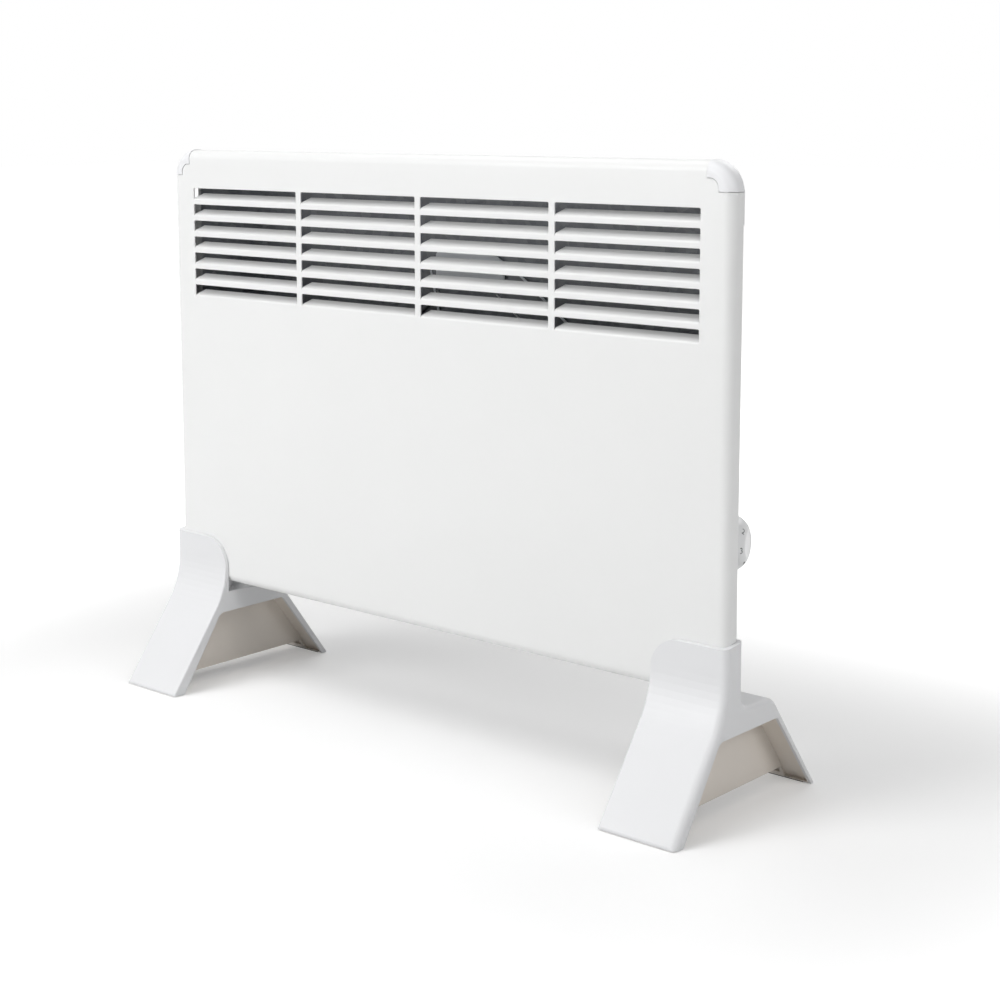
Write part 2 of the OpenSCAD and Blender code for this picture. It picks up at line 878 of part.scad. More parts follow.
// The knob's outer section: radius and height above its foot
function knob_section() =
    let (n = 8, foot_h = 3.5, top_r = 2.5)
    let (a = [knob_r, foot_h], b = [knob_face_r + top_r, knob_h - 1.2])
    concat([[0, 0], [knob_r - 0.6, 0], [knob_r, 0.6]],
           [for (i = [0:n])
               let (f = i / n)
               [a[0] + (b[0] - a[0]) * (1 - cos(90 * f)), a[1] + (b[1] - a[1]) * sin(90 * f)]],
           [[knob_face_r + 0.8, knob_h - 0.2], [knob_face_r - 0.8, knob_h],
            [knob_face_r - 4, knob_h - 1], [0, knob_h - 1.6]]);

module thermostat_knob() {
    groove_r = 9;
    groove_out = knob_r + groove_r - 3.2;
    color(c_moulded)
        on_wall(knob_s, knob_z)
            translate([knob_base, 0, 0])
                rotate([0, 90, 0])
                    difference() {
                        union() {
                            difference() {
                                rotate_extrude()
                                    polygon(knob_section());
                                translate([0, 0, -eps])
                                    cylinder(r1 = knob_r - knob_wall, r2 = knob_face_r - knob_wall,
                                             h = knob_h - 3 + eps);
                            }
                            translate([0, 0, 4.6])
                                cylinder(r = knob_hub_r, h = knob_h - 7);
                        }
                        difference() {
                            translate([0, 0, -eps])
                                cylinder(r = spindle_r, h = knob_h - 4 + eps);
                            translate([-spindle_r, spindle_r - 1, 4])
                                cube([2 * spindle_r, spindle_r, knob_h]);
                        }
                        for (i = [0:knob_scallops - 1])
                            rotate([0, 0, scallop_a + i * 360 / knob_scallops])
                                translate([groove_out, 0, -eps])
                                    rotate([0, -12, 0])
                                        cylinder(r = groove_r, h = knob_h - 5);
                    }
}

// Rocker switch
switch_cut_w = 13;
switch_cut_h = 19.4;
switch_flange_w = 15;
switch_flange_h = 21;
switch_flange_t = 2;
rocker_w = 8.6;
rocker_h = 14.6;
rocker_gap = 0.35;
rocker_pin_r = 1.2;
rocker_tilt = 9;
rocker_axis_n = 0.4;
pocket_w = rocker_w + 2 * rocker_gap;
pin_seat = 0.8;
switch_depth = 17;

module switch_body() {
    pocket = 10;
    pocket_h = rocker_h + 2 * rocker_gap;
    shell_w = switch_cut_w - 2 * hole_gap;
    shell_h = switch_cut_h - 2 * hole_gap;
    color(c_dark)
        on_wall(knob_s, knob_z - switch_drop)
            difference() {
                union() {
                    translate([0, -switch_flange_w / 2, -switch_flange_h / 2])
                        cube([switch_flange_t, switch_flange_w, switch_flange_h]);
                    translate([-switch_depth, -shell_w / 2, -shell_h / 2])
                        cube([switch_depth + eps, shell_w, shell_h]);
                    for (z = [-5, 5])
                        translate([-switch_depth - 8, -2.4, z])
                            cube([9, 4.8, 0.8]);
                }
                translate([-pocket, -pocket_w / 2, -pocket_h / 2])
                    cube([pocket + switch_flange_t + eps, pocket_w, pocket_h]);
                translate([rocker_axis_n, 0, 0])
                    rotate([90, 0, 0])
                        cylinder(r = rocker_pin_r + run_gap, h = pocket_w + 2 * pin_seat, center = true);
            }
}

module switch_rocker() {
    rise = 3.2;
    section = [[-3.4, -4], [-3.4, 4], [0, 6.7], [rise + 1.4, 6.9], [rise + 0.1, 3.5],
               [rise - 0.4, 0], [rise + 0.1, -3.5], [rise + 1.4, -6.9], [0, -6.7]];
    color(c_dark)
        on_wall(knob_s, knob_z - switch_drop)
            translate([rocker_axis_n, 0, 0])
                rotate([0, rocker_tilt, 0]) {
                    translate([0, rocker_w / 2, 0])
                        rotate([90, 0, 0])
                            linear_extrude(rocker_w)
                                polygon(section);
                    rotate([90, 0, 0])
                        cylinder(r = rocker_pin_r, h = pocket_w + 1.5 * pin_seat, center = true);
                }
}

// Wiring and sensing

terminal_pitch = 10;
terminal_d = 14;
terminal_x = divider_x - 42;
terminal_y = case_y1 - sheet_t - terminal_d - 6;
terminal_wire_z = case_z0 + sheet_t + 6;
module terminal_block() {
    h = 16;
    posts = 3;
    color(c_ceramic)
        translate([terminal_x, terminal_y, case_z0 + sheet_t])
            difference() {
                union() {
                    cube([posts * terminal_pitch, terminal_d, h - 4]);
                    for (i = [0:posts - 1])
                        translate([i * terminal_pitch + 1, 0, 0])
                            cube([terminal_pitch - 2, terminal_d, h]);
                }
                for (i = [0:posts - 1]) {
                    translate([(i + 0.5) * terminal_pitch, -eps, 6])
                        rotate([-90, 0, 0])
                            cylinder(r = wire_r + 0.05, h = terminal_d + 2 * eps);
                    translate([(i + 0.5) * terminal_pitch, terminal_d / 2, 9])
                        cylinder(r = 2.2, h = h);
                }
            }
}

// A point at a terminal's mouth and the two points that lead a wire into it
function terminal_entry(i) =
    let (p = [terminal_x + (i + 0.5) * terminal_pitch, terminal_y, terminal_wire_z])
    [p + [0, -7, 2], p + [0, -3, 0], p + [0, 4, 0]];

tilt_x = divider_x - 72;
tilt_y = rim_d + 30;
module tilt_switch() {
    w = 22;
    d = 12;
    ear = 4;
    tab = [0.8, 5, 8];
    color(c_dark)
        translate([tilt_x, tilt_y, case_z0 + sheet_t]) {
            cube([w, d, w]);
            translate([-ear, 0, 0])
                cube([w + 2 * ear, d, 2.5]);
            for (x = [5, 15])
                translate([x, 4, w - 1])
                    cube(tab);
        }
}

inlet_x = divider_x - 16;
inlet_y = rim_d + 24;
inlet_neck_r = 6;
inlet_bore_r = 3.6;
module cord_inlet() {
    color(c_dark)
        translate([inlet_x, inlet_y, case_z0])
            difference() {
                union() {
                    translate([0, 0, -4])
                        cylinder(r1 = 6, r2 = 8.5, h = 4);
                    cylinder(r = inlet_neck_r, h = sheet_t + 4);
                    translate([0, 0, sheet_t])
                        cylinder(r = 8, h = 3);
                }
                translate([0, 0, -4 - eps])
                    cylinder(r = inlet_bore_r, h = sheet_t + 8 + 2 * eps);
            }
}

// The sensing bulb lies in the cool air that enters through the floor
bulb_x0 = tilt_x - 130;
bulb_l = 70;
bulb_r = 3;
bulb_y = rim_d + 26;
bulb_z = case_z0 + 14;
capillary_r = 0.9;
module sensor_bulb() {
    color(c_alu)
        translate([bulb_x0, bulb_y, bulb_z])
            rotate([0, 90, 0]) {
                cylinder(r = bulb_r, h = bulb_l);
                translate([0, 0, bulb_l])
                    cylinder(r1 = bulb_r, r2 = capillary_r, h = 4);
            }
}

module bulb_clips() {
    color(c_zinc)
        for (x = [bulb_x0 + 12, bulb_x0 + bulb_l - 20])
            translate([x, bulb_y, 0])
                difference() {
                    translate([0, -bulb_r - 1, case_z0 + sheet_t])
                        cube([8, 2 * bulb_r + 2, bulb_z + bulb_r + 1 - case_z0 - sheet_t]);
                    translate([-eps, 0, bulb_z])
                        rotate([0, 90, 0])
                            cylinder(r = bulb_r, h = 8 + 2 * eps);
                    translate([-eps, -bulb_r, case_z0 + sheet_t + 1])
                        cube([8 + 2 * eps, 2 * bulb_r, bulb_z - bulb_r - 2 - case_z0 - sheet_t]);
                }
}

// A point out from the right side wall: n along its normal, s back along it, z above the panel's bottom
function wall_point(n, s, z) =
    [case_x + n * cos(wall_a) - s * sin(wall_a), case_y0 + n * sin(wall_a) + s * cos(wall_a), body_z0 + z];

module capillary_tube() {
    start = [bulb_x0 + bulb_l + 3, bulb_y, bulb_z];
    color(c_alu)
        run_through([start,
                     [tilt_x - 14, bulb_y - 7, bulb_z],
                     [tilt_x + 30, bulb_y - 7, bulb_z + 8],
                     low_pass + [-12, -3, 1],
                     low_pass + [9, -1, 3],
                     wall_point(-17, knob_s + 13, knob_z - thermostat_h / 2 - 12),
                     wall_point(-sheet_t - 10, knob_s, knob_z - thermostat_h / 2 + 0.6)],
                    capillary_r, flat = true);
}

wire_r = 1.3;
module control_wires() {
    low = terminal_entry(2);
    mid = terminal_entry(1);
    color(c_dark) {
        run_through([[inlet_x, inlet_y, case_z0 + sheet_t - 2], [inlet_x, inlet_y, case_z0 + 12],
                     mid[0], mid[1], mid[2]], wire_r);
        run_through([low[2], low[1], low[0], low_pass + [-5, -2, -3], low_pass + [6, -2, -3],
                     wall_point(-switch_depth - 12, knob_s, knob_z - switch_drop - 8),
                     wall_point(-switch_depth - 4, knob_s, knob_z - switch_drop - 4.6)], wire_r);
        run_through([wall_point(-switch_depth - 4, knob_s, knob_z - switch_drop + 5.4),
                     wall_point(-switch_depth - 13, knob_s, knob_z - switch_drop + 9),
                     wall_point(-thermostat_d - 14, knob_s - 9, knob_z - 13),
                     wall_point(-thermostat_d - 5, knob_s - 9, knob_z - 7.6)], wire_r);
    }
}

module element_leads() {
    pin_r = [bracket_xr + 20, element_y, element_z];
    pin_l = [bracket_xl - 20, element_y, element_z];
    entry = terminal_entry(0);
    tab_z = element_z + cutout_dz;
    lane_y = element_y + 6;
    lane_z = case_z0 + 26;
    color(c_ceramic) {
        run_through([pin_r, pin_r + [3, -5, 12], [cutout_x + 19, element_y - cutout_tab - 2, tab_z - 8],
                     [cutout_x + 12, element_y - cutout_tab, tab_z]], wire_r);
        run_through([wall_point(-thermostat_d - 5, knob_s + 9, knob_z - 7.6),
                     wall_point(-thermostat_d - 16, knob_s + 14, knob_z - 16),
                     high_pass + [5, 0, 0], high_pass + [-3, 0, 0],
                     [cutout_x + 20, element_y + cutout_tab + 4, tab_z - 12],
                     [cutout_x + 12, element_y + cutout_tab, tab_z]], wire_r);
        run_through([pin_l, pin_l + [-4, 3, -14], [pin_l[0], lane_y, lane_z], [tilt_x - 22, lane_y, lane_z],
                     [tilt_x - 2, bulb_y + 1, lane_z], [tilt_x + 24, bulb_y + 1, lane_z - 8],
                     entry[0], entry[1], entry[2]], wire_r);
    }
}

// Feet

// Where a foot's sloping faces are at a height, moved t inwards
function front_face(z, t) = t / cos(leg_a) - toe_front + (z - nose_z) * tan(leg_a);
function rear_face(z, t) = toe_rear - t / cos(rear_leg_a) - (z - nose_z) * tan(rear_leg_a);

// A foot's side view with its front and top faces set in by f and b, down to a line below the toes
function foot_profile(f, b) =
    let (top = sleeve_z + 2 * sleeve_rise, low = -2)
    let (bend_z = nose_z + (toe_front - foot_proud + f - f / cos(leg_a)) / tan(leg_a))
    let (toe_a = [toe_front_w - toe_front, pad_t], leg_top = [-0.16 * toe_front, band_z])
    let (toe_b = [toe_rear - toe_rear_w, pad_t], rear_top = [shelf_end_y + 5.5, band_z])
    rounded([[f - foot_proud, top], [f - foot_proud, bend_z], [front_face(low, f), low],
             toe_a + (toe_a - leg_top) * (toe_a[1] - low) / (leg_top[1] - toe_a[1]), leg_top, rear_top,
             toe_b + (toe_b - rear_top) * (toe_b[1] - low) / (rear_top[1] - toe_b[1]),
             [rear_face(low, b), low], [rear_face(shelf_z - b, b), shelf_z - b],
             [sleeve_y1 - b, shelf_z - b], [sleeve_y1 - b, top]],
            [0, front_bend_r + f, 0, 0, 9, 6, 0, 0, shelf_bend_r - b, sleeve_fillet + b, 0], bend_steps);

// How far an edge rounded by r has fallen at a distance from its tangent line; past the side of the foot it
// runs on at a plain slope
function edge_fall(r, d) =
    let (last = 0.97, slope = 2.5, depth = r * (1 - sqrt(1 - last * last)))
    d <= 0 ? 0 : d < last * r ? r - sqrt(r * r - d * d) : depth + slope * (d - last * r);

// The foot's outer form: side views joined across its width, with rounded edges at both ends
module foot_form() {
    inner = [for (k = [1:3]) foot_in_r * (1 - sin(90 - 30 * k))];
    outer = [for (k = [0:edge_steps - 1]) foot_w - foot_edge_r + foot_edge_r * sin(90 * k / edge_steps)];
    xs = concat([-eps / 2], inner, outer, [foot_w + eps / 2]);
    layers = [for (x = xs)
        let (fall = edge_fall(foot_in_r, foot_in_r - x))
        foot_profile(fall + edge_fall(foot_edge_r, x - foot_w + foot_edge_r),
                     fall + edge_fall(foot_back_r, x - foot_w + foot_back_r))];
    n = len(layers[0]);
    m = len(xs);
    polyhedron(
        points = [for (i = [0:m - 1]) for (p = layers[i]) [xs[i], p[0], p[1]]],
        faces = concat(
            [[for (k = [0:n - 1]) k], [for (k = [n - 1:-1:0]) (m - 1) * n + k]],
            [for (i = [0:m - 2]) for (k = [0:n - 1])
                [i * n + k, (i + 1) * n + k, (i + 1) * n + (k + 1) % n, i * n + (k + 1) % n]]));
}

// The hollow between a foot's skins, which is open below: inset is its depth below the shelf, z0 and z2 are
// the heights of its front and rear ends
function foot_hollow(inset, z0, z2) =
    let (z1 = shelf_z - inset, front_cut = [8, 6], rear_cut = [6, 8])
    [[front_face(z0, skin_t), z0],
     [front_face(z1 - front_cut[1], skin_t), z1 - front_cut[1]],
     [front_face(z1 - front_cut[1], skin_t) + front_cut[0], z1],
     [rear_face(z1, skin_t) - rear_cut[0], z1],
     [rear_face(z1 - rear_cut[1], skin_t), z1 - rear_cut[1]],
     [rear_face(z2, skin_t), z2]];

// The space that the body's lower corner takes in a foot, with its rounded front edge
module body_corner_space() {
    x1 = foot_w - foot_proud + seat_gap;
    y1 = rim_d + sheet_t + seat_gap;
    r = edge_r + seat_gap;
    translate([0, 0, body_z0])
        linear_extrude(body_h) {
            translate([-eps, -seat_gap])
                square([x1 - r + eps, y1 + seat_gap]);
            translate([-eps, r - seat_gap])
                square([x1 + eps, y1 - r + seat_gap]);
            translate([x1 - r, r - seat_gap])
                mirror([1, 0])
                    quarter(r);
        }
    translate([-eps, -seat_gap, shelf_z + 0.5])
        cube([13, y1 + seat_gap, floor_gap]);
}

// What lies above the sleeve's sloping top and outside its round inner corner
module sleeve_waste() {
    y0 = -foot_proud - eps;
    y1 = sleeve_y1 + eps;
    slope = sleeve_rise / (sleeve_y1 + foot_proud);
    along_x(-eps, foot_w + eps)
        polygon([[y0, sleeve_z - eps * slope], [y1, sleeve_z + sleeve_rise + eps * slope],
                 [y1, sleeve_z + 3 * sleeve_rise], [y0, sleeve_z + 3 * sleeve_rise]]);
    difference() {
        translate([-eps, y0, sleeve_z - sleeve_r])
            cube([sleeve_r + eps, rim_d + foot_proud + eps, sleeve_r + 3 * sleeve_rise]);
        translate([sleeve_r - corner_shift, y0 - eps, sleeve_z - sleeve_r + 3 * corner_shift])
            rotate([-90, 0, 0])
                cylinder(r = sleeve_r, h = rim_d + foot_proud + 4 * eps);
    }
}

// What lies past the foot's sides, below the toes' soles and ahead of their noses
module toe_waste() {
    for (x = [-foot_w, foot_w])
        translate([x, -2 * toe_front, -toe_front])
            cube([foot_w, toe_front + 2 * toe_rear, body_h]);
    translate([-eps, -2 * toe_front, -toe_front])
        cube([foot_w + 2 * eps, toe_front + 2 * toe_rear, toe_front + pad_t]);
    translate([-eps, -2 * toe_front, -eps])
        cube([foot_w + 2 * eps, toe_front, band_z]);
    translate([-eps, toe_rear, -eps])
        cube([foot_w + 2 * eps, toe_front, band_z]);
}

module foot() {
    rear_wall_x = foot_w - foot_proud - lip_w - 1;
    rib_x0 = rib_x - rib_w / 2;
    rib_x1 = rib_x + rib_w / 2;
    difference() {
        union() {
            foot_form();
            along_x(rib_x0, rib_x1)
                polygon(foot_hollow(skin_t - 0.5, rib_z, rib_z));
        }
        along_x(skin_t, rib_x0)
            polygon(foot_hollow(skin_t, toe_plate_front, toe_plate_rear));
        along_x(rib_x1, foot_w - skin_t)
            polygon(foot_hollow(skin_t, toe_plate_front, toe_plate_rear));
        along_x(rib_x0 + rib_t, rib_x1 - rib_t)
            polygon(foot_hollow(2 * skin_t, toe_plate_front, toe_plate_front));
        body_corner_space();
        translate([-eps, rim_d + sheet_t, shelf_z])
            cube([rear_wall_x + eps, sleeve_fillet + foot_proud, body_h]);
        sleeve_waste();
        toe_waste();
        translate([foot_screw_x, foot_screw_y, 0])
            cylinder(r = foot_screw_r + hole_gap, h = body_h);
    }
    translate([foot_screw_x, foot_screw_y, 0])
        difference() {
            translate([0, 0, shelf_z - skin_t * 2])
                cylinder(r = boss_r, h = case_z0 - shelf_z + skin_t * 2);
            cylinder(r = foot_screw_r + hole_gap, h = body_h);
        }
}

module on_feet(m) {
    mirror([m, 0, 0])
        translate([foot_x0, 0, 0])
            children();
}

module foot_screws() {
    color(c_zinc)
        for (m = [0, 1])
            on_feet(m)
                translate([foot_screw_x, foot_screw_y, shelf_z - skin_t * 2])
                    rotate([180, 0, 0])
                        pan_screw(foot_screw_r, case_z0 - shelf_z + skin_t * 2 + 8,
                                  foot_screw_head_r, foot_screw_head_h);
}

module toe_pads() {
    inset = 8;
    nose = 3;
    heel = 0.6;
    color(c_dark) {
        translate([inset, nose - toe_front, 0])
            cube([foot_w - 2 * inset, toe_front_w - nose - heel, pad_t]);
        translate([inset, toe_rear - toe_rear_w + heel, 0])
            cube([foot_w - 2 * inset, toe_rear_w - 3 * heel, pad_t]);
    }
}

// Moves the finished heater so that the origin is at the middle of the feet's depth
module seated() {
    translate([0, -mid_y, 0])
        children();
}

seated() front_panel();
seated() rear_case();
seated() front_baffle();
seated() mirror([1, 0, 0]) corner_cap();  // corner_cap_left
seated() corner_cap();  // corner_cap_right
seated() cap_screws();
seated() case_screws();
seated() color(c_moulded) on_feet(1) foot();  // foot_left
seated() color(c_moulded) on_feet(0) foot();  // foot_right
seated() foot_screws();
seated() on_feet(1) toe_pads();  // toe_pads_left
seated() on_feet(0) toe_pads();  // toe_pads_right
seated() element_fins();
seated() element_rod();
seated() element_bracket(bracket_xl, -1);  // element_bracket_left
seated() element_bracket(bracket_xr, 1);  // element_bracket_right
seated() element_bush(bracket_xl);  // element_bush_left
seated() element_bush(bracket_xr);  // element_bush_right
seated() bracket_screws();
seated() overheat_cutout();
seated() control_divider();
seated() thermostat_body();
seated() thermostat_screws();
seated() thermostat_spindle();
seated() thermostat_knob();
seated() capillary_tube();
seated() sensor_bulb();
seated() bulb_clips();
seated() switch_body();
seated() switch_rocker();
seated() terminal_block();
seated() tilt_switch();
seated() cord_inlet();
seated() control_wires();
seated() element_leads();
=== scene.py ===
"""Looks of a free-standing convector heater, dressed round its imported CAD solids.

The solids of the sheet-metal panel, the case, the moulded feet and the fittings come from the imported
frame and keep their shapes. This script gives each of them a procedural finish. It adds the stay that
shows behind the grille and the thermostat's domed knob with its numerals, and it sets up the floor, the
soft studio light and the camera.
"""

import json
import logging
import math
from dataclasses import dataclass, field
from enum import Enum

import bmesh
import bpy
from mathutils import Matrix, Vector


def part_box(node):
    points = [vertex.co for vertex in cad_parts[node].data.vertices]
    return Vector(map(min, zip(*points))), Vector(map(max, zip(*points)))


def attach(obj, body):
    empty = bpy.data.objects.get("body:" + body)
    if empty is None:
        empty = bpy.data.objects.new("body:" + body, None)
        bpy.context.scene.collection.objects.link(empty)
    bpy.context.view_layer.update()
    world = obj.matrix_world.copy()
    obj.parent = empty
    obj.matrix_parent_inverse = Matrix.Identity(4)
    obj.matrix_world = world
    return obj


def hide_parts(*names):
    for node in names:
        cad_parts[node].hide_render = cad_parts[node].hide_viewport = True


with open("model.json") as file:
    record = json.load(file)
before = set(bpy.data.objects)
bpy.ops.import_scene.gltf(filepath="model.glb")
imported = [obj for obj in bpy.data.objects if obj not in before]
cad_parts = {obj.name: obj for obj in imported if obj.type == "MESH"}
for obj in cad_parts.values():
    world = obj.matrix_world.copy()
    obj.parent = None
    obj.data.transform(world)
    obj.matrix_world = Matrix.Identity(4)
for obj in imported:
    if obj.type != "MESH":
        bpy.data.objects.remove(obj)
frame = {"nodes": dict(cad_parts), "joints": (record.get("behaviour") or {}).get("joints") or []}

LOG = logging.getLogger("convector")
MM = 0.001

Point = tuple[float, float]
Triple = tuple[float, float, float]
Colour = Triple
Socket = bpy.types.NodeSocket


# Node trees


class Effect(Enum):
    """The effects that several finishes share, each one a node group."""

    SKIN = "surface_skin"
    DRIFT = "tone_drift"
    STREAKS = "drawn_streaks"
    SPANGLE = "zinc_spangle"
    DUST = "settled_dust"
    EDGES = "rubbed_edges"
    INSIDE = "inside_of_case"
    RECESS = "recess_of_foot"


class Tree:
    """A node tree that is being wired, with short calls to add and join its nodes."""

    # Sockets of a colour Mix node that carry the first colour, the second colour and the result
    MIX_FIRST = 6
    MIX_SECOND = 7
    MIX_RESULT = 2

    def __init__(self, tree: bpy.types.NodeTree) -> None:
        """Keeps the tree.

        Args:
            tree: the node tree of a material, a world or a node group.
        """
        self.tree = tree

    def add(self, kind: str, **sockets: object) -> bpy.types.Node:
        """Adds a node and sets its properties and inputs.

        Args:
            kind: the node's type, without the leading "ShaderNode".
            sockets: node properties by name, or input values with the input's name in capitals
                and underscores for spaces.

        Returns:
            The new node.
        """
        node = self.tree.nodes.new("ShaderNode" + kind)
        for key, value in sockets.items():
            if key[0].isupper():
                self.feed(node.inputs[key.replace("_", " ")], value)
            else:
                setattr(node, key, value)
        return node

    def feed(self, socket: Socket, value: object) -> None:
        """Links a socket to another node's output, or gives it a plain value.

        Args:
            socket: the input.
            value: an output socket, or a number, colour or vector.
        """
        if isinstance(value, Socket):
            self.tree.links.new(value, socket)
        elif isinstance(value, tuple) and len(value) == 3 and socket.type == "RGBA":
            socket.default_value = (*value, 1.0)
        else:
            socket.default_value = value

    def math(self, operation: str, a: object, b: object = 0.0, c: object = 0.0,
             clamp: bool = False) -> Socket:
        """Adds a Math node.

        Args:
            operation: Blender's name of the operation.
            a: first value or socket.
            b: second value or socket.
            c: third value or socket, for the operations that take one.
            clamp: keeps the result between 0 and 1.

        Returns:
            The result's socket.
        """
        node = self.add("Math", operation=operation, use_clamp=clamp)
        for socket, value in zip(node.inputs, (a, b, c)):
            self.feed(socket, value)
        return node.outputs[0]

    def vector(self, operation: str, a: object, b: object = (0.0, 0.0, 0.0)) -> bpy.types.Node:
        """Adds a Vector Math node.

        Args:
            operation: Blender's name of the operation.
            a: first vector or socket.
            b: second vector or socket.

        Returns:
            The node, whose outputs are Vector and Value.
        """
        node = self.add("VectorMath", operation=operation)
        self.feed(node.inputs[0], a)
        self.feed(node.inputs[1], b)
        return node

    def mix(self, factor: object, a: object, b: object) -> Socket:
        """Adds a colour Mix node.

        Args:
            factor: share of the second colour.
            a: first colour or socket.
            b: second colour or socket.

        Returns:
            The mixed colour's socket.
        """
        node = self.add("Mix", data_type="RGBA")
        self.feed(node.inputs["Factor"], factor)
        self.feed(node.inputs[self.MIX_FIRST], a)
        self.feed(node.inputs[self.MIX_SECOND], b)
        return node.outputs[self.MIX_RESULT]

    def span(self, value: object, low: float, high: float,
             to_low: float = 0.0, to_high: float = 1.0) -> Socket:
        """Adds a clamped Map Range node.

        Args:
            value: the value to map.
            low: lower end of the incoming range.
            high: upper end of the incoming range.
            to_low: what the lower end becomes.
            to_high: what the upper end becomes.

        Returns:
            The mapped value's socket.
        """
        node = self.add("MapRange", clamp=True)
        ends = {"Value": value, "From Min": low, "From Max": high, "To Min": to_low, "To Max": to_high}
        for key, number in ends.items():
            self.feed(node.inputs[key], number)
        return node.outputs[0]

    def place(self, effect: Effect, **sockets: object) -> bpy.types.Node:
        """Places one of the shared effects and sets its inputs.

        Args:
            effect: which effect.
            sockets: input values by the input's name.

        Returns:
            The group's node.
        """
        node = self.tree.nodes.new("ShaderNodeGroup")
        node.node_tree = bpy.data.node_groups[effect.value]
        for key, value in sockets.items():
            self.feed(node.inputs[key], value)
        return node


class Effects:
    """Builds the node groups of the shared effects, once each."""

    # Grain of a skin's fine noise, as a multiple of that of the wide one
    FINE_GRAIN = 4.3
    # Range of a noise that is stretched over 0 to 1
    NOISE_SPAN: Point = (0.3, 0.7)
    # How far the patches of zinc are bent out of their cells, in metres
    PATCH_BEND = 0.004
    # Width of a foot's side rims and height of its hollow, in metres
    FOOT_RIM = 0.0025
    HOLLOW_TOP = 0.0845
    # How far a foot's skins come inward for each metre of height
    FRONT_LEAN = 0.7265
    REAR_LEAN = 0.7508

    @staticmethod
    def _start(effect: Effect, inputs: dict[str, object], outputs: dict[str, str]) -> tuple[Tree, dict, dict]:
        """Makes an empty group with its sockets.

        Args:
            effect: which effect the group is.
            inputs: default value of each input, by name.
            outputs: socket type of each output, by name.

        Returns:
            The group's tree, its input sockets and its output sockets, by name.
        """
        group = bpy.data.node_groups.new(effect.value, "ShaderNodeTree")
        kinds = {float: "NodeSocketFloat", tuple: "NodeSocketColor", Vector: "NodeSocketVector"}
        for name, value in inputs.items():
            socket = group.interface.new_socket(name=name, in_out="INPUT", socket_type=kinds[type(value)])
            socket.default_value = (*value, 1.0) if isinstance(value, tuple) else value
        for name, kind in outputs.items():
            group.interface.new_socket(name=name, in_out="OUTPUT", socket_type="NodeSocket" + kind)
        tree = Tree(group)
        start = group.nodes.new("NodeGroupInput")
        end = group.nodes.new("NodeGroupOutput")
        return tree, {n: start.outputs[n] for n in inputs}, {n: end.inputs[n] for n in outputs}

    @classmethod
    def skin(cls) -> None:
        """Orange peel of a powder coat, or the spark texture of a moulding: a height from two noises."""
        tree, given, made = cls._start(Effect.SKIN, {"Grain": 900.0, "Fine": 0.35}, {"Height": "Float"})
        place = tree.add("TexCoord").outputs["Object"]
        wide = tree.add("TexNoise", Vector=place, Scale=given["Grain"], Detail=1.0, Roughness=0.4)
        fine_scale = tree.math("MULTIPLY", given["Grain"], cls.FINE_GRAIN)
        fine = tree.add("TexNoise", Vector=place, Scale=fine_scale, Detail=1.0, Roughness=0.5)
        share = tree.math("MULTIPLY", fine.outputs["Fac"], given["Fine"])
        tree.feed(made["Height"], tree.math("ADD", wide.outputs["Fac"], share))

    @classmethod
    def drift(cls) -> None:
        """Slow unevenness of a colour and of its gloss over a large face."""
        tree, given, made = cls._start(
            Effect.DRIFT,
            {"Colour": (0.8, 0.8, 0.8), "Amount": 0.03, "Scale": 9.0},
            {"Colour": "Color", "Value": "Float"})
        place = tree.add("TexCoord").outputs["Object"]
        noise = tree.add("TexNoise", Vector=place, Scale=given["Scale"], Detail=3.0, Roughness=0.55)
        value = tree.span(noise.outputs["Fac"], *cls.NOISE_SPAN)
        darker = tree.math("MULTIPLY", value, given["Amount"])
        level = tree.math("SUBTRACT", 1.0, darker)
        scaled = tree.vector("SCALE", given["Colour"])
        tree.feed(scaled.inputs["Scale"], level)
        tree.feed(made["Colour"], scaled.outputs["Vector"])
        tree.feed(made["Value"], value)

    @classmethod
    def streaks(cls) -> None:
        """Fine lines that drawing, extruding or brushing leaves along one direction."""
        tree, given, made = cls._start(
            Effect.STREAKS, {"Stretch": Vector((40.0, 2500.0, 2500.0))}, {"Value": "Float"})
        place = tree.add("TexCoord").outputs["Object"]
        spread = tree.vector("MULTIPLY", place, given["Stretch"])
        noise = tree.add("TexNoise", Vector=spread.outputs["Vector"], Scale=1.0, Detail=4.0, Roughness=0.65)
        tree.feed(made["Value"], tree.span(noise.outputs["Fac"], *cls.NOISE_SPAN))

    @classmethod
    def spangle(cls) -> None:
        """Crystal patches of zinc-coated sheet, each with its own brightness."""
        tree, given, made = cls._start(Effect.SPANGLE, {"Scale": 160.0}, {"Value": "Float"})
        place = tree.add("TexCoord").outputs["Object"]
        bent = tree.add("TexNoise", Vector=place, Scale=given["Scale"], Detail=2.0)
        shift = tree.vector("SCALE", bent.outputs["Color"])
        tree.feed(shift.inputs["Scale"], cls.PATCH_BEND)
        moved = tree.vector("ADD", place, shift.outputs["Vector"])
        cells = tree.add("TexVoronoi", Vector=moved.outputs["Vector"], Scale=given["Scale"])
        tree.feed(made["Value"], tree.add("SeparateColor", Color=cells.outputs["Color"]).outputs["Red"])

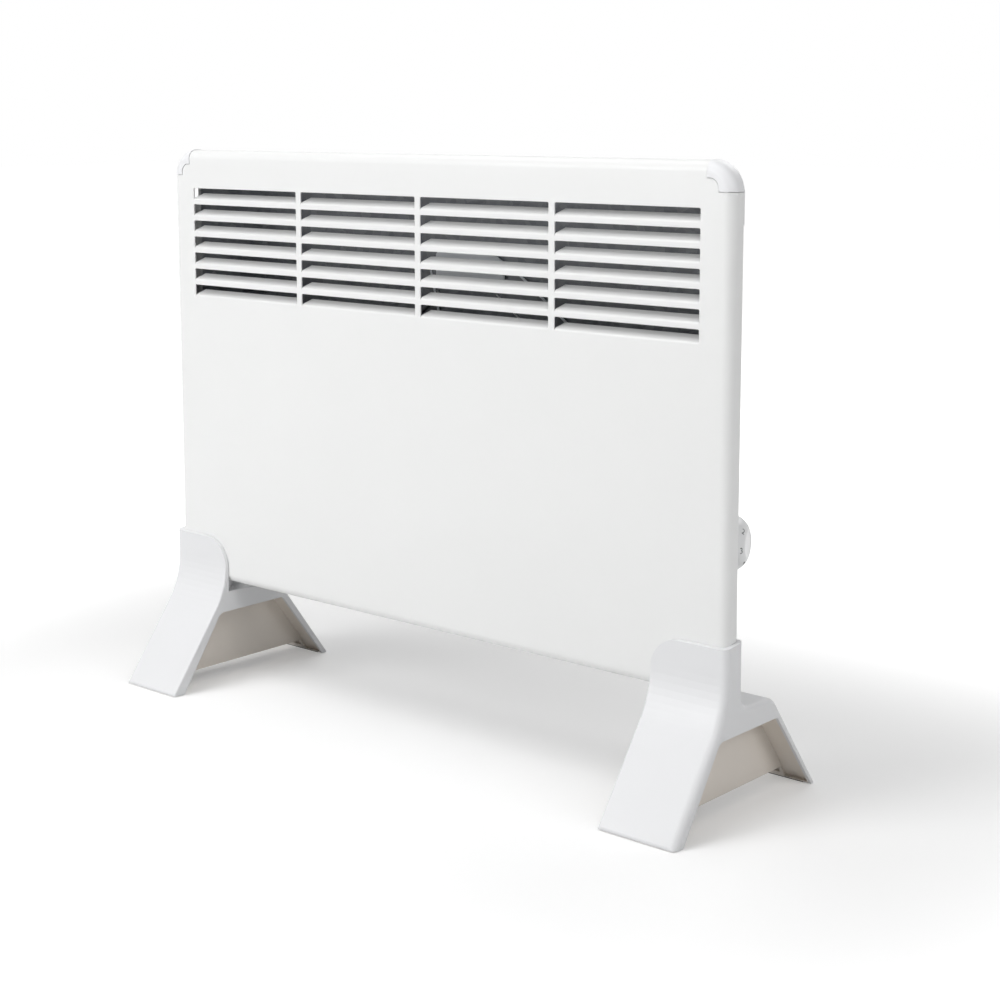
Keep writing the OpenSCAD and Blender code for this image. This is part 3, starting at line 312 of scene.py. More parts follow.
    @classmethod
    def dust(cls) -> None:
        """Thin dust that has settled on what faces up, in soft patches."""
        tree, given, made = cls._start(
            Effect.DUST, {"Colour": (0.8, 0.8, 0.8), "Dust": (0.55, 0.53, 0.5), "Amount": 0.1},
            {"Colour": "Color", "Mask": "Float"})
        place = tree.add("TexCoord").outputs["Object"]
        face = tree.add("SeparateXYZ", Vector=tree.add("NewGeometry").outputs["Normal"])
        upward = tree.span(face.outputs["Z"], low=0.25, high=0.95)
        noise = tree.add("TexNoise", Vector=place, Scale=55.0, Detail=4.0, Roughness=0.6)
        patches = tree.span(noise.outputs["Fac"], low=0.35, high=0.75, to_low=0.3)
        mask = tree.math("MULTIPLY", tree.math("MULTIPLY", upward, patches), given["Amount"])
        tree.feed(made["Colour"], tree.mix(mask, given["Colour"], given["Dust"]))
        tree.feed(made["Mask"], mask)

    @classmethod
    def edges(cls) -> None:
        """Edges and corners that hands and tools have rubbed: a mask that is 1 on a sharp edge."""
        tree, given, made = cls._start(
            Effect.EDGES,
            {"Rounded": Vector((0.0, 0.0, 1.0)), "Amount": 0.5, "Patches": 220.0},
            {"Mask": "Float"})
        flat = tree.add("NewGeometry").outputs["Normal"]
        along = tree.vector("DOT_PRODUCT", given["Rounded"], flat)
        edge = tree.span(along.outputs["Value"], low=0.985, high=0.8)
        place = tree.add("TexCoord").outputs["Object"]
        noise = tree.add("TexNoise", Vector=place, Scale=given["Patches"], Detail=3.0, Roughness=0.6)
        broken = tree.span(noise.outputs["Fac"], low=0.4, high=0.62)
        tree.feed(made["Mask"], tree.math("MULTIPLY", tree.math("MULTIPLY", edge, broken), given["Amount"]))

    @classmethod
    def inside(cls) -> None:
        """Faces that look towards a point inside the case, where the case's inside gets its dark painted shade.
        """
        tree, given, made = cls._start(Effect.INSIDE, {"Middle": Vector((0.0, 0.0, 0.3))}, {"Mask": "Float"})
        shape = tree.add("NewGeometry")
        outward = tree.vector("SUBTRACT", shape.outputs["Position"], given["Middle"])
        facing = tree.vector("DOT_PRODUCT", shape.outputs["Normal"], outward.outputs["Vector"])
        tree.feed(made["Mask"], tree.math("LESS_THAN", facing.outputs["Value"], 0.0))

    @classmethod
    def recess(cls) -> None:
        """Faces of a foot that lie within the hollow between its skins and its side rims, where a warm shade is
        painted.
        """
        low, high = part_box("foot_right")
        hollow = {
            "Middle": (low.x + high.x) / 2,
            "Half": (high.x - low.x) / 2 - cls.FOOT_RIM,
            "Front": low.y,
            "Rear": high.y,
            "Front Lean": cls.FRONT_LEAN,
            "Rear Lean": -cls.REAR_LEAN,
            "Top": cls.HOLLOW_TOP,
        }
        tree, given, made = cls._start(Effect.RECESS, hollow, {"Mask": "Float"})
        place = tree.add("SeparateXYZ", Vector=tree.add("NewGeometry").outputs["Position"]).outputs
        outward = tree.math("ABSOLUTE", place["X"])
        aside = tree.math("ABSOLUTE", tree.math("SUBTRACT", outward, given["Middle"]))
        front = tree.math("MULTIPLY_ADD", place["Z"], given["Front Lean"], given["Front"])
        rear = tree.math("MULTIPLY_ADD", place["Z"], given["Rear Lean"], given["Rear"])
        mask = tree.math("LESS_THAN", aside, given["Half"])
        tests = (
            tree.math("GREATER_THAN", place["Y"], front),
            tree.math("LESS_THAN", place["Y"], rear),
            tree.math("LESS_THAN", place["Z"], given["Top"]),
        )
        for test in tests:
            mask = tree.math("MULTIPLY", mask, test)
        tree.feed(made["Mask"], mask)

    @classmethod
    def build(cls) -> None:
        """Builds each group once."""
        for make in (cls.skin, cls.drift, cls.streaks, cls.spangle,
                     cls.dust, cls.edges, cls.inside, cls.recess):
            make()


# Finishes

# Roughness of a clear coat, and what full dust adds to a roughness
COAT_ROUGHNESS = 0.12
DUST_ROUGHNESS = 0.3
# Scale of the patches of gloss, as a multiple of that of the patches of tone
GLOSS_PATCHES = 2.7
# Distance between the bands of a Wave texture of scale 1, in metres
WAVE_BANDS = 0.314


@dataclass(frozen=True)
class Finish:
    """A finish of moulded or coated parts, and the base of the others."""

    name: str
    colour: Colour
    roughness: float
    metallic: float = 0.0
    specular: float = 0.5
    coat: float = 0.0
    grain: float = 1400.0
    grain_depth: float = 6e-6
    fine: float = 0.35
    drift: float = 0.03
    drift_scale: float = 9.0
    gloss_drift: float = 0.06
    edge_radius: float = 0.4 * MM
    dust: float = 0.0

    def base_colour(self, tree: Tree) -> Socket:
        """Gives the colour before dust, with its slow drift.

        Args:
            tree: the material's tree.

        Returns:
            The colour's socket.
        """
        drift = tree.place(Effect.DRIFT, Colour=self.colour, Amount=self.drift, Scale=self.drift_scale)
        return drift.outputs["Colour"]

    def gloss(self, tree: Tree) -> Socket:
        """Gives the roughness, which drifts a little from patch to patch.

        Args:
            tree: the material's tree.

        Returns:
            The roughness socket.
        """
        drift = tree.place(Effect.DRIFT, Scale=self.drift_scale * GLOSS_PATCHES)
        half = self.gloss_drift / 2
        return tree.span(drift.outputs["Value"], 0.0, 1.0, self.roughness - half, self.roughness + half)

    def shape_normal(self, tree: Tree) -> Socket:
        """Softens the sharp edges of the solid, as a press tool or a mould leaves them.

        Args:
            tree: the material's tree.

        Returns:
            The normal's socket.
        """
        return tree.add("Bevel", samples=4, Radius=self.edge_radius).outputs["Normal"]

    def relief(self, tree: Tree) -> Socket:
        """Gives the height that the skin adds.

        Args:
            tree: the material's tree.

        Returns:
            The height's socket, from 0 to about 1.
        """
        return tree.place(Effect.SKIN, Grain=self.grain, Fine=self.fine).outputs["Height"]

    def material(self) -> bpy.types.Material:
        """Builds the material.

        Returns:
            The material, with its whole node tree.
        """
        made = bpy.data.materials.new(self.name)
        made.use_nodes = True
        made.node_tree.nodes.clear()
        tree = Tree(made.node_tree)
        shader = tree.add(
            "BsdfPrincipled", Metallic=self.metallic, Specular_IOR_Level=self.specular,
            Coat_Weight=self.coat, Coat_Roughness=COAT_ROUGHNESS)
        rounded = self.shape_normal(tree)
        colour = self.wear_and_painted_shade(tree, self.base_colour(tree), rounded)
        gloss = self.gloss(tree)
        if self.dust > 0:
            veil = tree.place(Effect.DUST, Colour=colour, Amount=self.dust)
            colour = veil.outputs["Colour"]
            dull = tree.math("MULTIPLY", veil.outputs["Mask"], DUST_ROUGHNESS)
            gloss = tree.math("ADD", gloss, dull, clamp=True)
        relief = self.relief(tree)
        bump = tree.add("Bump", Strength=1.0, Distance=self.grain_depth, Height=relief, Normal=rounded)
        tree.feed(shader.inputs["Base Color"], colour)
        tree.feed(shader.inputs["Roughness"], gloss)
        tree.feed(shader.inputs["Normal"], bump.outputs["Normal"])
        out = tree.add("OutputMaterial")
        tree.feed(out.inputs["Surface"], shader.outputs[0])
        return made

    def shared(self) -> bpy.types.Material:
        """Gives the finish's one material, built at its first use.

        Returns:
            The material.
        """
        return bpy.data.materials.get(self.name) or self.material()

    def wear_and_painted_shade(self, tree: Tree, colour: Socket, rounded: Socket) -> Socket:
        """Leaves the colour as it is: a new moulding shows no wear.

        Args:
            tree: the material's tree; not used.
            colour: the moulding's colour.
            rounded: normal with soft edges; not used.

        Returns:
            The colour's socket.
        """
        return colour


@dataclass(frozen=True)
class CaseEnamelWithInnerShade(Finish):
    """Powder coat outside, and on the faces inside the case a dark grey: zinc sheet with the shade inside the
    case painted into its colour.
    """

    # Dark grey of the inner faces: zinc sheet darkened with painted shade, standing for the shade inside the
    # case
    inner_shade_colour: Colour = (0.25, 0.26, 0.28)
    # Brightness of the darkest and brightest spangle patches of the painted inner shade, as a multiple of its
    # colour
    inner_shade_levels: Point = (0.8, 1.1)
    # A point inside the case that every inner face looks at, in metres
    middle: Triple = (0.0, 0.0155, 0.295)

    def wear_and_painted_shade(self, tree: Tree, colour: Socket, rounded: Socket) -> Socket:
        """Paints the dark inner shade colour on the faces that look into the case.

        Args:
            tree: the material's tree.
            colour: the coat's colour.
            rounded: normal with soft edges; not used.

        Returns:
            The colour's socket.
        """
        inside = tree.place(Effect.INSIDE, Middle=self.middle)
        spangle = tree.place(Effect.SPANGLE)
        level = tree.span(spangle.outputs["Value"], 0.0, 1.0, *self.inner_shade_levels)
        # painted shade: the inner faces take a dark grey in place of the shade inside the case
        inner = tree.vector("SCALE", self.inner_shade_colour)
        tree.feed(inner.inputs["Scale"], level)
        return tree.mix(inside.outputs["Mask"], colour, inner.outputs["Vector"])


@dataclass(frozen=True)
class HollowShadeMoulding(Finish):
    """A moulding with a warm shade painted on the faces in its hollow."""

    # Warm painted shade on the faces in the foot's hollow
    hollow_shade_colour: Colour = (0.82, 0.765, 0.7)

    def wear_and_painted_shade(self, tree: Tree, colour: Socket, rounded: Socket) -> Socket:
        """Paints the warm shade on the faces within the hollow.

        Args:
            tree: the material's tree.
            colour: the moulding's colour.
            rounded: normal with soft edges; not used.

        Returns:
            The colour's socket.
        """
        # painted shade: the hollow's faces take a warmer colour in place of their warm shade
        return tree.mix(tree.place(Effect.RECESS).outputs["Mask"], colour, self.hollow_shade_colour)


@dataclass(frozen=True)
class Zinc(Finish):
    """Zinc-coated sheet with crystal patches and bare, rubbed edges."""

    patches: float = 160.0
    contrast: float = 0.25
    # Brightness of a rubbed edge, as a multiple of the coat's
    rubbed: float = 1.25

    def base_colour(self, tree: Tree) -> Socket:
        """Gives the zinc's colour, patch by patch.

        Args:
            tree: the material's tree.

        Returns:
            The colour's socket.
        """
        spangle = tree.place(Effect.SPANGLE, Scale=self.patches)
        dark = tuple(c * (1 - self.contrast) for c in self.colour)
        return tree.mix(spangle.outputs["Value"], dark, self.colour)

    def wear_and_painted_shade(self, tree: Tree, colour: Socket, rounded: Socket) -> Socket:
        """Brightens the edges that cutting and handling have rubbed.

        Args:
            tree: the material's tree.
            colour: the zinc's colour.
            rounded: normal with soft edges.

        Returns:
            The colour's socket.
        """
        edges = tree.place(Effect.EDGES, Rounded=rounded)
        bright = tuple(min(1.0, c * self.rubbed) for c in self.colour)
        return tree.mix(edges.outputs["Mask"], colour, bright)


@dataclass(frozen=True)
class Drawn(Finish):
    """Metal that is drawn, extruded or turned, with fine lines along one direction."""

    stretch: Triple = (40.0, 2500.0, 2500.0)
    contrast: float = 0.22

    def base_colour(self, tree: Tree) -> Socket:
        """Gives the metal's colour, darker in its drawing lines.

        Args:
            tree: the material's tree.

        Returns:
            The colour's socket.
        """
        lines = tree.place(Effect.STREAKS, Stretch=self.stretch)
        dark = tuple(c * (1 - self.contrast) for c in self.colour)
        return tree.mix(lines.outputs["Value"], dark, self.colour)

    def relief(self, tree: Tree) -> Socket:
        """Gives the drawing lines their height.

        Args:
            tree: the material's tree.

        Returns:
            The height's socket.
        """
        lines = tree.place(Effect.STREAKS, Stretch=self.stretch)
        return lines.outputs["Value"]


@dataclass(frozen=True)
class Woven(Finish):
    """Heat-proof braided sleeve of a lead."""

    pitch: float = 1.1 * MM

    def relief(self, tree: Tree) -> Socket:
        """Gives the braid's crossing strands their height.

        Args:
            tree: the material's tree.

        Returns:
            The height's socket.
        """
        place = tree.add("TexCoord").outputs["Object"]
        mirrored = tree.vector("MULTIPLY", place, (1.0, -1.0, 1.0)).outputs["Vector"]
        strands = []
        for run in (place, mirrored):
            wave = tree.add("TexWave", Vector=run, Scale=WAVE_BANDS / self.pitch, bands_direction="DIAGONAL")
            strands.append(wave.outputs["Fac"])
        return tree.math("MAXIMUM", *strands)


POWDER_COAT = Finish(
    "white_powder_coat", (0.87, 0.875, 0.87), 0.34, grain=420.0, grain_depth=9e-6, drift=0.015,
    drift_scale=7.0, edge_radius=0.5 * MM, dust=0.02)
# Powder coat, with a dark shade painted on the faces inside the case
CASE_COAT_AND_INNER_SHADE = CaseEnamelWithInnerShade(
    "case_powder_coat_and_inner_shade", (0.87, 0.875, 0.87), 0.36, grain=420.0, grain_depth=9e-6, drift=0.02, drift_scale=7.0,
    edge_radius=0.4 * MM, dust=0.03)
# The feet's moulding, with a warm shade painted in their hollows
FOOT_MOULDING = HollowShadeMoulding(
    "foot_moulding", (0.815, 0.82, 0.832), 0.4, grain=2600.0, grain_depth=5e-6, drift=0.02,
    edge_radius=0.7 * MM, dust=0.03)
CAP_MOULDING = Finish(
    "cap_moulding", (0.86, 0.865, 0.88), 0.38, grain=2600.0, grain_depth=4e-6, drift=0.015,
    edge_radius=0.5 * MM, dust=0.02)
KNOB_MOULDING = Finish(
    "knob_moulding", (0.86, 0.865, 0.87), 0.33, grain=3000.0, grain_depth=3e-6, drift=0.015,
    edge_radius=0.5 * MM)
STAY_SHEET = Finish("stay_sheet", (0.9, 0.93, 0.96), 0.4)
NUMERAL_INK = Finish(
    "numeral_ink", (0.055, 0.055, 0.06), 0.45, grain=5000.0, grain_depth=3e-6, drift=0.25, drift_scale=700.0,
    edge_radius=0.02 * MM)
ZINC_SHEET = Zinc(
    "zinc_sheet", (0.55, 0.56, 0.575), 0.42, metallic=0.85, grain=700.0, grain_depth=6e-6, dust=0.1)
SCREW_ZINC = Zinc(
    "zinc_plated_screws", (0.66, 0.67, 0.68), 0.3, metallic=0.95, patches=900.0, contrast=0.15,
    grain=2400.0, grain_depth=4e-6, edge_radius=0.15 * MM)
FIN_ALUMINIUM = Drawn(
    "extruded_aluminium", (0.72, 0.73, 0.74), 0.36, metallic=0.95, grain_depth=8e-6,
    edge_radius=0.2 * MM, dust=0.12)
ROD_STEEL = Drawn(
    "heat_tinted_tube", (0.34, 0.32, 0.31), 0.45, metallic=0.9, grain_depth=6e-6, edge_radius=0.2 * MM)
GLAZED_CERAMIC = Finish(
    "glazed_ceramic", (0.82, 0.78, 0.68), 0.22, coat=0.5, grain=500.0, grain_depth=1.2e-5, drift=0.1,
    drift_scale=60.0, edge_radius=0.5 * MM)
BLACK_MOULDING = Finish(
    "black_moulding", (0.03, 0.03, 0.033), 0.38, grain=2200.0, grain_depth=8e-6, drift=0.15, drift_scale=40.0,
    edge_radius=0.4 * MM, dust=0.05)
PAD_RUBBER = Finish(
    "pad_rubber", (0.028, 0.028, 0.028), 0.78, grain=1500.0, grain_depth=3e-5, fine=0.8, drift=0.3,
    drift_scale=80.0, edge_radius=0.5 * MM, dust=0.15)
TURNED_BRASS = Drawn(
    "turned_brass", (0.72, 0.52, 0.25), 0.28, metallic=1.0, stretch=(1800.0, 60.0, 60.0),
    grain_depth=5e-6, edge_radius=0.2 * MM)
COPPER_TUBE = Drawn(
    "dull_copper", (0.58, 0.32, 0.22), 0.4, metallic=0.95, stretch=(600.0, 600.0, 600.0),
    grain_depth=5e-6, edge_radius=0.1 * MM)
DARK_WIRE = Finish(
    "dark_wire", (0.05, 0.05, 0.055), 0.5, grain=1800.0, grain_depth=6e-6, drift=0.15, drift_scale=50.0,
    edge_radius=0.1 * MM)
PALE_SLEEVE = Woven(
    "braided_sleeve", (0.7, 0.67, 0.58), 0.75, grain_depth=9e-5, drift=0.12, drift_scale=60.0,
    edge_radius=0.1 * MM)


# Shared steps of the pieces


def dress(node: str, material: bpy.types.Material) -> None:
    """Gives a CAD node its finish.

    Args:
        node: the CAD node's name.
        material: the finish's material.
    """
    solid = frame["nodes"][node]
    if solid.data.materials:
        solid.data.materials[0] = material
    else:
        solid.data.materials.append(material)
    LOG.info("%-24s %s", node, material.name)


def finished_mesh(name: str, shape: bmesh.types.BMesh) -> bpy.types.Mesh:
    """Turns a finished shape into a mesh, with its faces outward, and lets the shape go.

    Args:
        name: the mesh's name.
        shape: the shape.

    Returns:
        The mesh.
    """
    bmesh.ops.recalc_face_normals(shape, faces=shape.faces)
    mesh = bpy.data.meshes.new(name)
    shape.to_mesh(mesh)
    shape.free()
    return mesh


def shown_piece(name: str, mesh: bpy.types.Mesh, material: bpy.types.Material) -> bpy.types.Object:
    """Puts a new piece into the scene.

    Args:
        name: the piece's name.
        mesh: its mesh.
        material: its only material.

    Returns:
        The piece's object.
    """
    piece = bpy.data.objects.new(name, mesh)
    mesh.materials.append(material)
    bpy.context.scene.collection.objects.link(piece)
    LOG.info("%-24s %d faces", name, len(mesh.polygons))
    return piece


# Sub-assemblies


@dataclass
class Assembly:
    """A group of CAD nodes and the finish of each."""

    finishes: dict[str, Finish] = field(default_factory=dict)

    def build(self) -> None:
        """Dresses each node of the group."""
        for node, finish in self.finishes.items():
            dress(node, finish.shared())


@dataclass
class Housing(Assembly):
    """The louvred front panel, its corner caps and the case behind it."""

    finishes: dict[str, Finish] = field(default_factory=lambda: {
        "front_panel": POWDER_COAT,
        "rear_case": CASE_COAT_AND_INNER_SHADE,
        "corner_cap_left": CAP_MOULDING,
        "corner_cap_right": CAP_MOULDING,
        "cap_screws": SCREW_ZINC,
        "case_screws": SCREW_ZINC,
        "front_baffle": ZINC_SHEET,
        "control_divider": ZINC_SHEET,
    })
    # Outline of the stay's plate, and the middle lines of its braces and their width, as x and z in millimetres
    plate: tuple[Point, ...] = (
        (-43.5, 389.3), (34.5, 389.3), (34.5, 403.5), (26.2, 408.5), (-38.0, 412.0), (-43.5, 407.5))
    braces: tuple[tuple[Point, Point], ...] = (
        ((44.0, 399.5), (126.0, 340.0)), ((-50.0, 393.0), (-36.0, 337.0)))
    brace_width: float = 1.8
    # Depths of the stay's front and rear faces, the rear one just inside the beads of the rear wall
    stay_front: float = 41.2 * MM
    stay_rear: float = 42.2 * MM

    def sheet(self, name: str, outline: list[Vector]) -> bpy.types.Object:
        """Makes one flat piece of the stay on the rear wall.

        Args:
            name: the piece's name.
            outline: its corners, as x and z in millimetres.

        Returns:
            The piece's object.
        """
        shape = bmesh.new()
        corners = [corner * MM for corner in outline]
        front = [shape.verts.new((corner.x, self.stay_front, corner.y)) for corner in corners]
        rear = [shape.verts.new((corner.x, self.stay_rear, corner.y)) for corner in corners]
        shape.faces.new(front)
        shape.faces.new(rear[::-1])
        for here in range(len(corners)):
            after = (here + 1) % len(corners)
            shape.faces.new((front[after], front[here], rear[here], rear[after]))
        piece = shown_piece(name, finished_mesh(name, shape), STAY_SHEET.shared())
        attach(piece, "heater")
        return piece

    def brace(self, start: Vector, end: Vector) -> list[Vector]:
        """Works out the outline of a brace.

        Args:
            start: one end of its middle line, as x and z in millimetres.
            end: the other end.

        Returns:
            The brace's four corners.
        """
        along = (end - start).normalized()
        side = Vector((-along.y, along.x)) * self.brace_width / 2
        return [start + side, end + side, end - side, start - side]

    def build(self) -> None:
        """Dresses the nodes and puts the stay with its two braces on the rear wall."""
        super().build()
        self.sheet("stay_plate", [Vector(corner) for corner in self.plate])
        for count, (start, end) in enumerate(self.braces):
            self.sheet(f"stay_brace_{count}", self.brace(Vector(start), Vector(end)))


@dataclass
class Feet(Assembly):
    """The two moulded feet, their screws and the pads under the toes."""

    finishes: dict[str, Finish] = field(default_factory=lambda: {
        "foot_left": FOOT_MOULDING,
        "foot_right": FOOT_MOULDING,
        "foot_screws": SCREW_ZINC,
        "toe_pads_left": PAD_RUBBER,
        "toe_pads_right": PAD_RUBBER,
    })


@dataclass
class HeatingElement(Assembly):
    """The finned element with its brackets, bushes, screws and cut-out."""

    finishes: dict[str, Finish] = field(default_factory=lambda: {
        "element_fins": FIN_ALUMINIUM,
        "element_rod": ROD_STEEL,
        "element_bracket_left": ZINC_SHEET,
        "element_bracket_right": ZINC_SHEET,
        "element_bush_left": GLAZED_CERAMIC,
        "element_bush_right": GLAZED_CERAMIC,
        "bracket_screws": SCREW_ZINC,
        "overheat_cutout": BLACK_MOULDING,
        "element_leads": PALE_SLEEVE,
    })


@dataclass
class Wiring(Assembly):
    """The terminals, the inlet gland, the tip-over switch and the wires between them."""

    finishes: dict[str, Finish] = field(default_factory=lambda: {
        "terminal_block": GLAZED_CERAMIC,
        "cord_inlet": PAD_RUBBER,
        "control_wires": DARK_WIRE,
        "tilt_switch": BLACK_MOULDING,
        "switch_body": BLACK_MOULDING,
        "switch_rocker": BLACK_MOULDING,
    })


@dataclass
class Dial:
    """The shape of the thermostat's knob: a low dome with finger scallops round its wall."""

    # Height above the knob's foot and radius, from the foot's middle over the wall to the top's middle, in
    # millimetres
    profile: tuple[Point, ...] = (
        (0.0, 0.0), (0.0, 21.4), (0.5, 22.0), (3.5, 22.0), (7.0, 21.5), (10.5, 20.0), (13.0, 18.2),
        (14.8, 16.4), (16.2, 14.6), (17.2, 12.8), (17.8, 11.2), (18.0, 9.8), (17.7, 8.8), (17.4, 6.0),
        (17.3, 0.0))
    # Steps of the smooth line between two points of the profile, and columns of faces round the knob
    steps: int = 5
    columns: int = 180
    scallops: int = 6
    # Angle of the first scallop above the direction that faces forward, in degrees
    scallop_turn: float = 21.0
    scallop_depth: float = 1.7 * MM
    # Half the angle that a scallop takes, in degrees
    scallop_reach: float = 21.0
    # Heights at which the scallops begin, are full, begin to fade and end, in millimetres
    scallop_span: tuple[float, float, float, float] = (1.0, 4.5, 8.0, 15.0)

    def __post_init__(self) -> None:
        """Lays a smooth line through the profile's points and measures along it."""
        points = [Vector(point) * MM for point in self.profile]
        self.line: list[Vector] = [points[0]]
        for here in range(1, len(points)):
            before, start, end = points[max(here - 2, 0)], points[here - 1], points[here]
            after = points[min(here + 1, len(points) - 1)]
            for step in range(1, self.steps + 1):
                self.line.append(self.between(before, start, end, after, step / self.steps))
        self.length: list[float] = [0.0]
        for near, far in zip(self.line, self.line[1:]):
            self.length.append(self.length[-1] + (far - near).length)

    @staticmethod
    def between(before: Vector, start: Vector, end: Vector, after: Vector, share: float) -> Vector:
        """Gives a point of the smooth line between two points of the profile.

        Args:
            before: the point ahead of the start.
            start: where the span starts.
            end: where the span ends.
            after: the point past the end.
            share: how far along the span the point lies, from 0 to 1.

        Returns:
            The point's height and radius, in metres.
        """
        span = (end - start).length
        out = (end - before).normalized() * span if span else Vector((0.0, 0.0))
        back = (after - start).normalized() * span if span else Vector((0.0, 0.0))
        ease = share * share * (3 - 2 * share)
        bulge = share * (1 - share)
        return start * (1 - ease) + end * ease + out * bulge * (1 - share) - back * bulge * share

    def fade(self, height: float) -> float:
        """Tells how deep the scallops are at a height.

        Args:
            height: distance above the foot, in metres.

        Returns:
            The share of the full depth, from 0 to 1.
        """
        start, full, fading, end = (height_mm * MM for height_mm in self.scallop_span)
        rise = min(1.0, max(0.0, (height - start) / (full - start)))
        fall = min(1.0, max(0.0, (end - height) / (end - fading)))
        return (rise * rise * (3 - 2 * rise)) * (fall * fall * (3 - 2 * fall))

    def point(self, height: float, radius: float, turn: float) -> Vector:
        """Gives a point of the surface, with the scallops taken off.

        Args:
            height: distance above the foot, in metres.
            radius: radius of the dome there, in metres.
            turn: angle above the forward direction, in radians.

        Returns:
            Height, forward and upward distances, in metres.
        """
        pitch = 360.0 / self.scallops
        aside = abs((math.degrees(turn) - self.scallop_turn + pitch / 2) % pitch - pitch / 2)
        hollow = math.cos(math.radians(90.0 * min(1.0, aside / self.scallop_reach))) ** 2
        reach = radius - self.scallop_depth * hollow * self.fade(height)
        return Vector((height, reach * math.cos(turn), reach * math.sin(turn)))

    def along(self, distance: float, turn: float, lift: float) -> Vector:
        """Gives a point above the surface at a distance along the dome's line.

        Args:
            distance: length of line from its start, in metres.
            turn: angle above the forward direction, in radians.
            lift: height above the surface, in metres.

        Returns:
            Height, forward and upward distances, in metres.
        """
        index = next(spot for spot, reached in enumerate(self.length) if reached >= distance)
        near, far = self.line[index - 1], self.line[index]
        share = (distance - self.length[index - 1]) / (self.length[index] - self.length[index - 1])
        place = near.lerp(far, share)
        run = (far - near).normalized()
        base = self.point(place.x, place.y, turn)
        return base + Vector((-run.y, run.x * math.cos(turn), run.x * math.sin(turn))) * lift

    def distance_at(self, height: float) -> float:
        """Tells where the dome's line first reaches a height.

        Args:
            height: distance above the foot, in metres.

        Returns:
            The length of line up to there, in metres.
        """
        return next(reached for at, reached in zip(self.line, self.length) if at.x >= height)

    def mesh(self, name: str, place: Matrix) -> bpy.types.Mesh:
        """Makes the knob's mesh.

        Args:
            name: the mesh's name.
            place: turns height, forward and upward distances into the frame.

        Returns:
            The mesh, with smooth shading.
        """
        shape = bmesh.new()
        rings = []
        for spot in self.line:
            columns = range(self.columns if spot.y > 0 else 1)
            turns = [math.tau * column / self.columns for column in columns]
            rings.append([shape.verts.new(place @ self.point(spot.x, spot.y, turn)) for turn in turns])
        for low, high in zip(rings, rings[1:]):
            for here in range(self.columns):
                after = (here + 1) % self.columns
                lower = (low[here % len(low)], low[after % len(low)])
                upper = (high[after % len(high)], high[here % len(high)])
                shape.faces.new(dict.fromkeys(lower + upper)).smooth = True
        return finished_mesh(name, shape)


